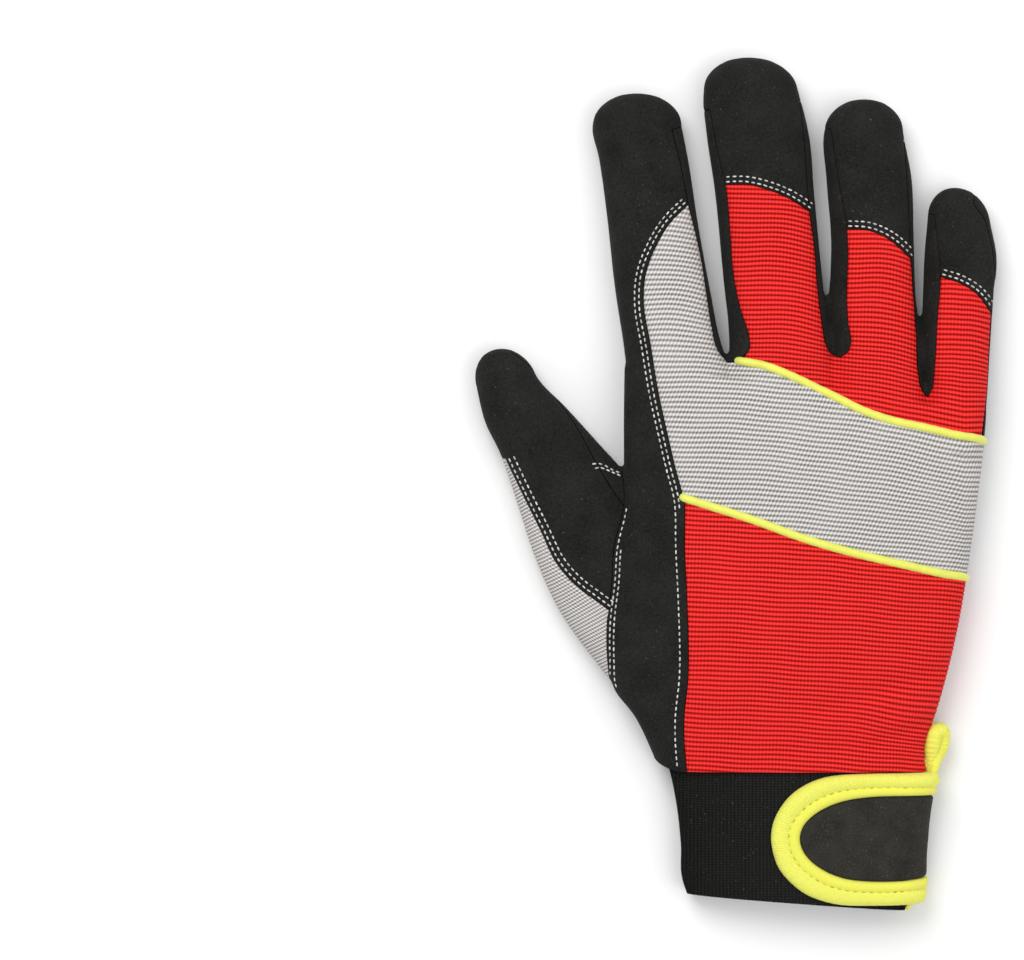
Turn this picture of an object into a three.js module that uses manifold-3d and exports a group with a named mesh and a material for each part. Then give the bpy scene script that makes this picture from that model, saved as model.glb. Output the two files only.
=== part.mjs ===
// Right-hand work glove lying palm down, in millimetres.
// X runs across the palm with the thumb at minus X, Y runs to the fingertips and Z points up out of the back.
// The origin is on the surface the glove lies on, under the middle of its outline.
import * as THREE from 'three';
import { mergeVertices } from 'three/addons/utils/BufferGeometryUtils.js';
import Module from 'manifold-3d';

const wasm = await Module();
wasm.setup();

// Driving dimensions
const WALL = 1.4;                // suede and elastic cloth, with their backing
const CUFF_WALL = 2.0;           // doubled knit
const GAP = 0.3;                 // between neighbouring pieces
const SIDES = 16;                // flats round each finger, the thumb, the hand and the cuff
const SEAM_HEIGHT = 4.5;         // seam between the palm side and the back, the finger strips included
const THUMB_SEAM_HEIGHT = 8;     // seam between the front and back of the thumb
const CROTCH_TOP = 14;           // top of the side strips where they turn through a finger crotch
const PIPING_DIAMETER = 2.3;
const PIPING_SUNK = 0.1;         // how far the piping's centre lies below the outer surface
const PIPING_SIDES = 8;
const PIPING_STEPS = 18;
const PAD_THICKNESS = 1.3;
const PAD_EDGE = 0.4;            // bevel round each pad
const STRAP_THICKNESS = 1.6;
const BINDING_THICKNESS = 2.4;
const SLIT_WIDTH = 3.4;
const SLIT_HEIGHT = 8;           // middle of the slit above the surface
const LOOP_THICKNESS = 5;        // bunched binding at the top of the slit
const FAR = 60;                  // above and below the object, for cutting

// Section rows from the tip to the wrist. Each row goes from a left point (lx, ly) to a right point (rx, ry),
// and from the underside (bottom) to the crown (top).
const INDEX = [
  { lx: -34, ly: 119.6, rx: -26, ry: 119.6, top: 8, bottom: 3 },
  { lx: -39.8, ly: 117, rx: -20.8, ry: 117, top: 12, bottom: 1 },
  { lx: -44.2, ly: 110, rx: -16.8, ry: 109, top: 14.6, bottom: 0 },
  { lx: -42.3, ly: 100, rx: -14.9, ry: 99, top: 15.6, bottom: 0 },
  { lx: -39.8, ly: 82, rx: -12, ry: 80, top: 16, bottom: 0 },
  { lx: -37.4, ly: 60, rx: -8.5, ry: 58, top: 17, bottom: 0 },
  { lx: -34.7, ly: 42, rx: -4.2, ry: 42, top: 18.5, bottom: 0.8 },
  { lx: -32.5, ly: 20, rx: 5, ry: 20, top: 20.5, bottom: 2.2 },
];
const MIDDLE = [
  { lx: -1, ly: 130.6, rx: 8, ry: 130.6, top: 8, bottom: 3 },
  { lx: -6.6, ly: 127.8, rx: 13.6, ry: 127.8, top: 12, bottom: 1 },
  { lx: -10.2, ly: 120, rx: 18.8, ry: 120, top: 15, bottom: 0 },
  { lx: -9.4, ly: 108, rx: 22, ry: 107, top: 16, bottom: 0 },
  { lx: -6.8, ly: 90, rx: 23.6, ry: 89, top: 16, bottom: 0 },
  { lx: -4.8, ly: 62, rx: 26.2, ry: 62, top: 17, bottom: 0 },
  { lx: -3.2, ly: 46, rx: 27.8, ry: 47, top: 18.5, bottom: 0.8 },
  { lx: -4.2, ly: 36, rx: 29.4, ry: 37, top: 19.5, bottom: 1.4 },
  { lx: -9, ly: 18, rx: 36, ry: 18, top: 21, bottom: 2.4 },
];
const RING = [
  { lx: 35.6, ly: 117.8, rx: 43.4, ry: 117.8, top: 8, bottom: 3 },
  { lx: 30.6, ly: 115, rx: 47.2, ry: 114.8, top: 12, bottom: 1 },
  { lx: 26.8, ly: 108, rx: 51, ry: 107, top: 14.6, bottom: 0 },
  { lx: 27.4, ly: 94, rx: 53.4, ry: 94, top: 15.6, bottom: 0 },
  { lx: 28.9, ly: 74, rx: 54.1, ry: 74, top: 16, bottom: 0 },
  { lx: 28.4, ly: 56, rx: 55.1, ry: 56, top: 17, bottom: 0 },
  { lx: 28.9, ly: 42, rx: 56, ry: 42, top: 18.5, bottom: 0.8 },
  { lx: 28.2, ly: 34, rx: 56.8, ry: 30, top: 19.5, bottom: 1.4 },
  { lx: 23, ly: 14, rx: 62, ry: 10, top: 21, bottom: 2.4 },
];
const LITTLE = [
  { lx: 64, ly: 90.8, rx: 71, ry: 90.6, top: 8, bottom: 3 },
  { lx: 60.6, ly: 87.6, rx: 74.4, ry: 87, top: 11, bottom: 1 },
  { lx: 58.5, ly: 80.5, rx: 77.8, ry: 79, top: 13.4, bottom: 0 },
  { lx: 57.6, ly: 71, rx: 79.5, ry: 70, top: 14.4, bottom: 0 },
  { lx: 56.6, ly: 56, rx: 78.4, ry: 56, top: 15.6, bottom: 0 },
  { lx: 56.4, ly: 42, rx: 77.2, ry: 40, top: 17, bottom: 0.6 },
  { lx: 57.4, ly: 30, rx: 76.2, ry: 26, top: 18.5, bottom: 1.4 },
  { lx: 53, ly: 12, rx: 74, ry: 8, top: 20.5, bottom: 2.4 },
];
const HAND = [
  { lx: -34.6, ly: 36, rx: 76.1, ry: 22, top: 20.6, bottom: 1.6 },
  { lx: -34.8, ly: 20, rx: 75.2, ry: 12, top: 22.4, bottom: 1.6 },
  { lx: -35, ly: 0, rx: 73.3, ry: -3, top: 23.8, bottom: 1.6 },
  { lx: -38, ly: -24, rx: 70.1, ry: -26, top: 24, bottom: 1.6 },
  { lx: -39.6, ly: -48, rx: 66.2, ry: -48, top: 23, bottom: 1.6 },
  { lx: -37.6, ly: -63, rx: 62.8, ry: -62, top: 21.6, bottom: 1.6 },
  { lx: -31.5, ly: -71, rx: 60.2, ry: -71, top: 20.4, bottom: 1.6 },
  { lx: -27, ly: -80, rx: 58, ry: -80, top: 19.2, bottom: 1.6 },
  { lx: -22.6, ly: -88, rx: 57.6, ry: -87, top: 18.4, bottom: 0.8 },
];
const THUMB = [
  { lx: -77, ly: 40.2, rx: -71, ry: 42.2, top: 7, bottom: 3 },
  { lx: -79.2, ly: 35.4, rx: -66.6, ry: 38.6, top: 10.6, bottom: 1 },
  { lx: -79.5, ly: 28.5, rx: -61.2, ry: 32.6, top: 13, bottom: 0 },
  { lx: -77.2, ly: 19, rx: -52.6, ry: 23.6, top: 14.6, bottom: 0 },
  { lx: -72.4, ly: 9, rx: -42.6, ry: 12.6, top: 15.2, bottom: 0 },
  { lx: -66.6, ly: -8, rx: -33.4, ry: 2, top: 15.6, bottom: 0 },
  { lx: -62.4, ly: -21, rx: -25, ry: -12, top: 16, bottom: 0.8 },
  { lx: -54, ly: -39.5, rx: -20, ry: -29, top: 16.4, bottom: 1.4 },
  { lx: -44.4, ly: -53, rx: -17, ry: -44, top: 16.4, bottom: 1.8 },
  { lx: -34, ly: -66, rx: -14, ry: -58, top: 15.4, bottom: 2.4 },
];
const CUFF = [
  { lx: -20.6, ly: -88.6, rx: 56.6, ry: -87.6, top: 17, bottom: 0 },
  { lx: -18.4, ly: -98, rx: 55.2, ry: -98, top: 16.4, bottom: 0 },
  { lx: -17, ly: -112, rx: 54.4, ry: -112, top: 16, bottom: 0 },
  { lx: -16.5, ly: -126, rx: 53.6, ry: -126, top: 15.6, bottom: 0 },
  { lx: -14.8, ly: -130.4, rx: 52, ry: -130.4, top: 15, bottom: 0.3 },
];
// Roundness of a section: across and up are powers of the unit circle, and flat presses the underside level
const FINGER_FORM = { across: 0.88, up: 0.84, flat: 1.35, waist: 0.42 };
const HAND_FORM = { across: 0.76, up: 0.74, flat: 1.8, waist: 0.42 };

// Seams seen from above, as [x, y]
const INDEX_SIDE_SEAM = [
  [-15, 85], [-21, 79], [-25, 72.5], [-28.5, 63], [-29, 55], [-27, 42.5], [-24.5, 27], [-22, 15.5],
  [-19.5, 4.5], [-17.3, -4], [-16.3, -19], [-15.3, -38.5], [-15, -58.5], [-16.3, -72], [-15.5, -86],
  [-14, -95],
];
const INDEX_STRIP_SEAM = [
  [-15, 85], [-13, 77.5], [-11, 68.5], [-9.5, 58.5], [-8, 48.5], [-6, 40.5], [-3, 37],
];
const MIDDLE_LEFT_SEAM = [
  [-8.5, 114], [-6.5, 102], [-4, 91], [-2.5, 75.5], [-1.5, 63], [0.5, 53], [3, 44.5], [3.2, 41], [0, 37.5],
];
const MIDDLE_RIGHT_SEAM = [
  [19, 117], [20.5, 102], [22, 83], [23.5, 72.5], [24.5, 58.5], [26.5, 48], [30.5, 38.5],
];
const RING_LEFT_SEAM = [[28.4, 108], [30.5, 92.5], [33, 77.5], [33, 45.5], [34, 42.5], [30.5, 38.5]];
const RING_RIGHT_SEAM = [[51, 105], [52, 86.5], [53, 68.5], [54.5, 45.5], [55, 34.5], [58, 26.5]];
const LITTLE_LEFT_SEAM = [[60, 82], [61.5, 63], [60.5, 49], [59, 33], [58, 26.5]];
const LITTLE_RIGHT_SEAM = [[77.5, 52], [77, 44], [76, 27.5], [74.5, 13.5]];
const MIDDLE_CAP_SEAM = [[-4, 91], [2, 91], [8.5, 89.5], [15, 87], [22, 83]];
const RING_CAP_SEAM = [[33, 77.5], [39.5, 77], [45.5, 74.5], [53, 68.5]];
const LITTLE_CAP_SEAM = [[61.5, 63], [67.5, 61], [73, 57.5], [77.5, 52]];
const UPPER_PIPING = [
  [0.8, 37.2], [7, 36], [16, 32.5], [28.5, 26.5], [37.5, 22], [46.5, 19], [56, 17], [66, 14.6],
];
const LOWER_PIPING = [
  [-16.6, -4.4], [-8.5, -7], [4, -11], [19, -16.5], [34.5, -21], [49.5, -24.5], [62, -27.4],
];
const UPPER_PIPING_END = { y: 12.6, z: 9 };    // on the little finger side of the hand
const LOWER_PIPING_END = { y: -29.2, z: 9 };
const THUMB_ROOT_BACK = [
  [-36, 14], [-35.4, 5], [-34.9, -7], [-37.5, -19.5], [-38.5, -30], [-40, -41.5], [-40, -54], [-39, -63],
  [-33, -69],
];
const THUMB_ARC = [
  [-36, 14], [-30, 6], [-22, 12], [-11, 3], [-2, -8.5], [4, -21], [7.5, -32.5], [8, -44], [5, -55],
  [-0.5, -64.5], [-7.5, -72], [-14, -75.5], [-28, -76.5],
];
const THUMB_RIDGE = [[-69, 40], [-66, 38], [-58, 29], [-49.5, 18], [-42, 4], [-34.9, -7]];
const THUMB_GREY_BACK = [
  [-71, 7.5], [-66.5, -2], [-60.5, -14], [-55, -25], [-49.5, -31], [-43.5, -35.5], [-39.4, -38.5],
];
const THUMB_GREY_FRONT = [[-72, 4], [-63.5, -6], [-52, -18.6], [-37.4, -36], [-26.5, -51], [-13.4, -75]];

const KNUCKLE_PAD = [
  [-9, 15.5], [-5, 19.5], [1, 20.6], [9, 21], [18.5, 20.3], [30, 17.4], [41, 13.4], [50, 8], [55.5, 1.5],
  [58, -4], [53, -3.6], [36, 0.5], [21, 2.3], [3, 2.6],
];
const HEEL_PAD = [
  [12.5, -12], [13.5, -8.4], [17, -6.6], [28.5, -8], [40.5, -11], [49.5, -15.5], [56.5, -20.5], [60, -30],
  [60.5, -42], [58.5, -56], [55.5, -68], [52, -73], [42.5, -75], [28.5, -73.6], [20.5, -70.5], [18, -65],
  [18.5, -44], [15, -25],
];
const STRAP_EDGE = [
  [64, -96], [43.5, -96], [31.5, -98], [23.5, -102], [20, -109.5], [23, -117.5], [30, -122.5], [40.5, -124],
  [64, -123.5],
];
const BINDING_EDGE = [
  [66, -88.8], [40.5, -89.4], [31.5, -90.4], [22, -92.8], [15.5, -97], [12, -104.5], [12, -112],
  [14.5, -118.5], [20.5, -124], [30, -127], [43.5, -128.4], [66, -127.6],
];
const STRAP_TURN_HEIGHT = 3;     // how low the strap reaches round the little finger side
const SLIT_OUTLINE = [[46, -74], [46, -140], [80, -140], [80, -74]];
const BOUND_SLIT_EDGE = [
  [56.6, -75], [56, -88], [53, -98], [52.2, -112], [51.4, -126], [50.2, -130.6], [53.4, -130.6], [54, -129.4],
  [53, -128.8], [53.4, -126], [54.2, -112], [55, -98], [56.4, -88.4], [59.4, -87.6], [59.6, -80], [61, -75],
];
const BUNCHED_LOOP = [
  [58.6, -87.9], [58.6, -80], [60.4, -73.6], [62, -73], [64, -75], [65, -78.6], [64.2, -82], [62, -85.4],
  [60.4, -88.2],
];

// The closed form of a geometry as a solid that can be joined and cut
function solidOf(geometry) {
  const bare = geometry.clone();
  bare.deleteAttribute('normal');
  bare.deleteAttribute('uv');
  const merged = mergeVertices(bare, 1e-4);
  return new wasm.Manifold(new wasm.Mesh({
    numProp: 3,
    vertProperties: new Float32Array(merged.attributes.position.array),
    triVerts: new Uint32Array(merged.index.array),
  }));
}

function geometryOf(solid) {
  const mesh = solid.getMesh();
  const geometry = new THREE.BufferGeometry();
  geometry.setAttribute('position', new THREE.Float32BufferAttribute(mesh.vertProperties, 3));
  geometry.setIndex(Array.from(mesh.triVerts));
  geometry.computeVertexNormals();
  return geometry;
}

const join = (...solids) => solids.reduce((whole, solid) => whole.add(solid));
const cut = (solid, ...cutters) => cutters.reduce((rest, cutter) => rest.subtract(cutter), solid);
const roundPower = (value, power) => Math.sign(value) * Math.abs(value) ** power;
const reversed = (path) => [...path].reverse();

// The main body of a cut piece, without the crumbs that a cut leaves at a seam's corner
function mainBody(solid) {
  return solid.decompose().reduce((best, body) => (body.volume() > best.volume() ? body : best));
}

// A tube through section rows: a cylinder whose rings are laid onto the rows
function loftTube(rows, form, shrink = 0) {
  const tube = new THREE.CylinderGeometry(1, 1, 1, SIDES, rows.length - 1);
  const place = tube.attributes.position;
  const point = new THREE.Vector3();
  for (let i = 0; i < place.count; i += 1) {
    point.fromBufferAttribute(place, i);
    const row = rows[Math.round((0.5 - point.y) * (rows.length - 1))];
    const span = Math.hypot(row.rx - row.lx, row.ry - row.ly);
    const keep = Math.max(0.5, span - 2 * shrink) / span;
    const share = 0.5 + 0.5 * keep * roundPower(point.x, form.across);
    const bottom = row.bottom + shrink;
    const top = Math.max(bottom + 1, row.top - shrink);
    const waist = bottom + form.waist * (top - bottom);
    const rise = point.z > 0
      ? (top - waist) * point.z ** form.up
      : (bottom - waist) * Math.min(1, form.flat * Math.abs(point.z) ** form.up);
    place.setXYZ(
      i,
      THREE.MathUtils.lerp(row.lx, row.rx, share),
      THREE.MathUtils.lerp(row.ly, row.ry, share),
      waist + rise,
    );
  }
  return solidOf(tube);
}

// The same rows with the first and last section moved along Y, to close a tip or open a mouth
function slideEnds(rows, tip, mouth) {
  return rows.map((row, i) => {
    const slide = (i === 0 ? tip : 0) + (i === rows.length - 1 ? mouth : 0);
    return { ...row, ly: row.ly + slide, ry: row.ry + slide };
  });
}

// An outline grown outwards by an amount, or shrunk if it is negative
function growOutline(outline, amount) {
  const area = THREE.ShapeUtils.area(outline.map(([x, y]) => new THREE.Vector2(x, y)));
  const reach = area > 0 ? amount : -amount;
  return outline.map(([x, y], i) => {
    const [ax, ay] = outline[(i + outline.length - 1) % outline.length];
    const [bx, by] = outline[(i + 1) % outline.length];
    const before = new THREE.Vector2(x - ax, y - ay).normalize();
    const after = new THREE.Vector2(bx - x, by - y).normalize();
    const across = new THREE.Vector2(before.y + after.y, -before.x - after.x).normalize();
    const mitre = reach / Math.max(0.35, across.dot(new THREE.Vector2(before.y, -before.x)));
    return [x + mitre * across.x, y + mitre * across.y];
  });
}

const shapeOf = (outline) => new THREE.Shape(outline.map(([x, y]) => new THREE.Vector2(x, y)));

function prism(outline, low, high, grow = 0) {
  const shape = shapeOf(growOutline(outline, grow));
  const block = new THREE.ExtrudeGeometry(shape, { depth: high - low + 2 * grow, bevelEnabled: false });
  return solidOf(block.translate(0, 0, low - grow));
}

// A strip of the given width along a path, as an outline
function ribbon(path, width) {
  const [left, right] = [1, -1].map((side) => path.map(([x, y], i) => {
    const [ax, ay] = path[Math.max(0, i - 1)];
    const [bx, by] = path[Math.min(path.length - 1, i + 1)];
    const along = new THREE.Vector2(bx - ax, by - ay).normalize();
    return [x - (side * along.y * width) / 2, y + (side * along.x * width) / 2];
  }));
  return [...left, ...reversed(right)];
}

// Cutting outlines seen from above, made of the seams that they meet at
const INDEX_MIDDLE_OUTLINE = [
  [-20, 108], [-17.5, 98], ...INDEX_STRIP_SEAM, ...reversed(MIDDLE_LEFT_SEAM), [-12, 114], [-14.4, 110],
];
const MIDDLE_RING_OUTLINE = [
  ...MIDDLE_RIGHT_SEAM, ...reversed(RING_LEFT_SEAM).slice(1), [25, 110], [24.6, 117],
];
const RING_LITTLE_OUTLINE = [
  ...RING_RIGHT_SEAM, ...reversed(LITTLE_LEFT_SEAM).slice(1), [56.2, 84], [56, 105],
];
const INDEX_MIDDLE_CROTCH = [[-11, 44], [-11, 24], [8, 24], [8, 44]];
const MIDDLE_RING_CROTCH = [[22, 47], [22, 26], [37, 26], [37, 47]];
const RING_LITTLE_CROTCH = [[50, 34], [50, 14], [64, 14], [64, 34]];
const MIDDLE_CAP_OUTLINE = [
  ...MIDDLE_CAP_SEAM, [20.5, 102], [19, 117], [24.6, 119], [24.6, 136], [-15, 136], [-15, 116], [-8.5, 114],
  [-6.5, 102],
];
const RING_CAP_OUTLINE = [
  ...RING_CAP_SEAM, [52, 86.5], [51, 105], [56, 107], [56, 124], [25, 124], [25, 110], [28.4, 108], [30.5, 92.5],
];
const LITTLE_CAP_OUTLINE = [
  ...LITTLE_CAP_SEAM, [79, 62], [77.8, 72], [75.8, 80], [72, 85.5], [74, 96], [56.2, 96], [56.2, 84], [60, 82],
];
const MIDDLE_FRONT_OUTLINE = [
  [-3, 33], [8, 31], [20, 32], [29, 34.5], [28.3, 48], [27, 62], [25.6, 90], [24.6, 110], [24.6, 136],
  [-15, 136], [-13, 108], [-9, 80], [-6.4, 60], [-4, 44],
];
const RING_FRONT_OUTLINE = [
  [29, 34.5], [44, 31], [56.6, 26], [56.2, 45], [56, 60], [56.2, 84], [56, 124], [24.6, 124], [24.6, 110],
  [25.6, 90], [27, 62], [28.3, 48],
];
const THUMB_OUTSIDE = [[-42, -82], [-96, -82], [-96, 62], [-50, 62]];
const THUMB_HIGH_OUTLINE = [...THUMB_ROOT_BACK, ...THUMB_OUTSIDE];
const THUMB_LOW_OUTLINE = [...THUMB_ARC, ...THUMB_OUTSIDE];
const GREY_HIGH_OUTLINE = [
  ...THUMB_GREY_BACK, ...THUMB_ROOT_BACK.slice(5), [-42, -82], [-96, -82], [-96, 7.5],
];
const GREY_LOW_OUTLINE = [...THUMB_GREY_FRONT, [-20, -84], [-96, -84], [-96, 4]];
const BLACK_THUMB_OUTLINE = [
  ...THUMB_RIDGE, ...THUMB_ROOT_BACK.slice(3, 5), ...reversed(THUMB_GREY_BACK), [-96, 7.5], [-96, 62], [-69, 62],
];
const GREY_OUTLINE = [
  ...INDEX_SIDE_SEAM.slice(0, 10), ...LOWER_PIPING, [69, -29], [82, -32], [88, 10], [74, 12.4],
  ...reversed(UPPER_PIPING), [-3, 37], ...reversed(INDEX_STRIP_SEAM).slice(1, -1),
];
const RED_UPPER_OUTLINE = [
  ...UPPER_PIPING, [74, 12.4], ...reversed(LITTLE_RIGHT_SEAM).slice(1), ...reversed(LITTLE_CAP_SEAM).slice(1),
  ...LITTLE_LEFT_SEAM.slice(2), ...reversed(RING_RIGHT_SEAM).slice(1, -2), ...reversed(RING_CAP_SEAM),
  ...RING_LEFT_SEAM.slice(3), ...reversed(MIDDLE_RIGHT_SEAM).slice(1, -3), ...reversed(MIDDLE_CAP_SEAM),
  ...MIDDLE_LEFT_SEAM.slice(3, -1),
];
const RED_LOWER_OUTLINE = [
  ...LOWER_PIPING, [69, -29], [90, -32], [80, -96], ...reversed(INDEX_SIDE_SEAM).slice(0, -10),
];

// Each piece takes what its blocks hold of the shell that the pieces before it have left
const PANELS = [
  { name: 'index_middle_fourchette', blocks: [
    { outline: INDEX_MIDDLE_OUTLINE, low: SEAM_HEIGHT, high: FAR },
    { outline: INDEX_MIDDLE_CROTCH, low: SEAM_HEIGHT, high: CROTCH_TOP },
  ] },
  { name: 'middle_ring_fourchette', blocks: [
    { outline: MIDDLE_RING_OUTLINE, low: SEAM_HEIGHT, high: FAR },
    { outline: MIDDLE_RING_CROTCH, low: SEAM_HEIGHT, high: CROTCH_TOP },
  ] },
  { name: 'ring_little_fourchette', blocks: [
    { outline: RING_LITTLE_OUTLINE, low: SEAM_HEIGHT, high: FAR },
    { outline: RING_LITTLE_CROTCH, low: SEAM_HEIGHT, high: CROTCH_TOP },
  ] },
  { name: 'middle_cap', blocks: [{ outline: MIDDLE_CAP_OUTLINE, low: SEAM_HEIGHT, high: FAR }] },
  { name: 'ring_cap', blocks: [{ outline: RING_CAP_OUTLINE, low: SEAM_HEIGHT, high: FAR }] },
  { name: 'little_cap', blocks: [{ outline: LITTLE_CAP_OUTLINE, low: SEAM_HEIGHT, high: FAR }] },
  { name: 'middle_front', blocks: [{ outline: MIDDLE_FRONT_OUTLINE, low: -FAR, high: SEAM_HEIGHT }] },
  { name: 'ring_front', blocks: [{ outline: RING_FRONT_OUTLINE, low: -FAR, high: SEAM_HEIGHT }] },
  { name: 'thumb_back_grey', blocks: [
    { outline: GREY_LOW_OUTLINE, low: -FAR, high: THUMB_SEAM_HEIGHT },
    { outline: GREY_HIGH_OUTLINE, low: 0, high: FAR },
  ] },
  { name: 'thumb_back_black', blocks: [{ outline: BLACK_THUMB_OUTLINE, low: THUMB_SEAM_HEIGHT, high: FAR }] },
  { name: 'thumb_front', blocks: [
    { outline: THUMB_LOW_OUTLINE, low: -FAR, high: THUMB_SEAM_HEIGHT },
    { outline: THUMB_HIGH_OUTLINE, low: 0, high: FAR },
  ] },
  { name: 'back_grey_panel', blocks: [{ outline: GREY_OUTLINE, low: SEAM_HEIGHT, high: FAR }] },
  { name: 'back_red_upper', blocks: [{ outline: RED_UPPER_OUTLINE, low: SEAM_HEIGHT, high: FAR }] },
  { name: 'back_red_lower', blocks: [{ outline: RED_LOWER_OUTLINE, low: SEAM_HEIGHT, high: FAR }] },
];

// The whole hand: outer tubes joined. Taking the inner tubes out leaves a shell that is open at the wrist.
const FINGERS = [INDEX, MIDDLE, RING, LITTLE, THUMB];
const outerHand = join(loftTube(HAND, HAND_FORM), ...FINGERS.map((rows) => loftTube(rows, FINGER_FORM)));
const innerHand = join(
  loftTube(slideEnds(HAND, -WALL, -2), HAND_FORM, WALL),
  ...FINGERS.map((rows) => loftTube(slideEnds(rows, -WALL, 0), FINGER_FORM, WALL)),
);
const slit = prism(SLIT_OUTLINE, SLIT_HEIGHT - SLIT_WIDTH / 2, SLIT_HEIGHT + SLIT_WIDTH / 2);
const channels = [[...UPPER_PIPING, [74, 12.4], [82, 10]], [...LOWER_PIPING, [69, -29], [82, -32]]].map(
  (seam) => prism(ribbon(seam, PIPING_DIAMETER + 2 * GAP), SEAM_HEIGHT, FAR),
);

function panelSolids() {
  const pieces = {};
  let rest = cut(outerHand, innerHand, slit, ...channels);
  const blocksOf = (panel, grow) => join(
    ...panel.blocks.map(({ outline, low, high }) => prism(outline, low, high, grow)),
  );
  PANELS.forEach((panel) => {
    pieces[panel.name] = mainBody(rest.intersect(blocksOf(panel, -GAP / 2)));
    rest = rest.subtract(blocksOf(panel, GAP / 2));
  });
  pieces.palm_panel = mainBody(rest);
  return pieces;
}

// A round cord in a seam, laid on the outer form by rays from above and, at its end, from the side
function piping(seam, end) {
  const form = new THREE.Mesh(geometryOf(outerHand), new THREE.MeshBasicMaterial());
  const touch = (from, way) => new THREE.Raycaster(from, way).intersectObject(form)[0].point.addScaledVector(
    way, PIPING_SUNK,
  );
  const down = new THREE.Vector3(0, 0, -1);
  const inwards = new THREE.Vector3(-1, 0, 0);
  const route = new THREE.CatmullRomCurve3([
    ...seam.map(([x, y]) => touch(new THREE.Vector3(x, y, FAR), down)),
    touch(new THREE.Vector3(2 * FAR, end.y, end.z), inwards),
  ], false, 'centripetal');
  const section = new THREE.Shape().absarc(0, 0, PIPING_DIAMETER / 2, 0, 2 * Math.PI);
  return new THREE.ExtrudeGeometry(section, {
    extrudePath: route, steps: PIPING_STEPS, curveSegments: PIPING_SIDES, bevelEnabled: false,
  });
}

// A layer of the given thickness lying on the cuff, cut to an outline seen from above
function wristLayer(thickness, outline, grow) {
  const layer = cut(loftTube(CUFF, HAND_FORM, -GAP - thickness), loftTube(CUFF, HAND_FORM, -GAP));
  return layer.intersect(prism(outline, STRAP_TURN_HEIGHT, FAR, grow));
}

function cuff() {
  return cut(loftTube(CUFF, HAND_FORM), loftTube(slideEnds(CUFF, 2, -2), HAND_FORM, CUFF_WALL), slit);
}

// The bound edge fills the slit, stays flush under the strap and stands proud above and below it
function slitBinding() {
  const halfSlit = SLIT_WIDTH / 2 - GAP;
  const bound = join(
    prism(BOUND_SLIT_EDGE, SLIT_HEIGHT - halfSlit, SLIT_HEIGHT + halfSlit),
    prism(BUNCHED_LOOP, SLIT_HEIGHT - LOOP_THICKNESS / 2, SLIT_HEIGHT + LOOP_THICKNESS / 2),
  );
  const underStrap = cut(prism(BINDING_EDGE, 0, FAR, GAP), loftTube(CUFF, HAND_FORM));
  return mainBody(cut(bound, underStrap));
}

// A flat pad under the palm with a bevelled rim
function palmPad(outline) {
  const pad = new THREE.ExtrudeGeometry(shapeOf(outline), {
    depth: PAD_THICKNESS - 2 * PAD_EDGE, bevelThickness: PAD_EDGE, bevelSize: PAD_EDGE, bevelOffset: -PAD_EDGE,
    bevelSegments: 1,
  });
  return pad.translate(0, 0, PAD_EDGE);
}

const suede = { color: 0x2b2b29, roughness: 0.9, metalness: 0 };
const knit = { color: 0x222220, roughness: 0.95, metalness: 0 };
const loopTape = { color: 0x363531, roughness: 0.95, metalness: 0 };
const redElastic = { color: 0xd92a28, roughness: 0.75, metalness: 0 };
const greyElastic = { color: 0xbebab7, roughness: 0.75, metalness: 0 };
const yellowPiping = { color: 0xf3ef46, roughness: 0.5, metalness: 0 };
const yellowBinding = { color: 0xf3f166, roughness: 0.8, metalness: 0 };

const glove = new THREE.Group();
function addPiece(name, geometry, finish) {
  const piece = new THREE.Mesh(geometry, new THREE.MeshStandardMaterial(finish));
  piece.name = name;
  glove.add(piece);
}

const FINISHES = {
  thumb_back_grey: greyElastic,
  back_grey_panel: greyElastic,
  back_red_upper: redElastic,
  back_red_lower: redElastic,
};
Object.entries(panelSolids()).forEach(([name, solid]) => {
  addPiece(name, geometryOf(solid), FINISHES[name] ?? suede);
});
addPiece('piping_upper', piping(UPPER_PIPING, UPPER_PIPING_END), yellowPiping);
addPiece('piping_lower', piping(LOWER_PIPING, LOWER_PIPING_END), yellowPiping);
addPiece('palm_pad_knuckle', palmPad(KNUCKLE_PAD), suede);
addPiece('palm_pad_heel', palmPad(HEEL_PAD), suede);
addPiece('cuff', geometryOf(cuff()), knit);
addPiece('strap', geometryOf(wristLayer(STRAP_THICKNESS, STRAP_EDGE, -GAP / 2)), loopTape);
addPiece('strap_binding', geometryOf(
  cut(wristLayer(BINDING_THICKNESS, BINDING_EDGE, 0), prism(STRAP_EDGE, -FAR, FAR, GAP / 2)),
), yellowBinding);
addPiece('slit_binding', geometryOf(slitBinding()), yellowBinding);

export default glove;
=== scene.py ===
"""A right-hand work glove lying palm down, dressed in suede, ribbed elastic, knit and bound edges.

Sizes in the tables are millimetres, as on the CAD pattern, and MM turns them into metres.
X runs across the palm with the thumb at minus X, Y runs to the fingertips, and Z points up out of the back.
"""

import functools
import math
from types import SimpleNamespace

import bpy
import numpy as np
from bpy.props import FloatProperty, FloatVectorProperty, PointerProperty
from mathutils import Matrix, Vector
from mathutils.bvhtree import BVHTree
from mathutils.kdtree import KDTree


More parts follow.
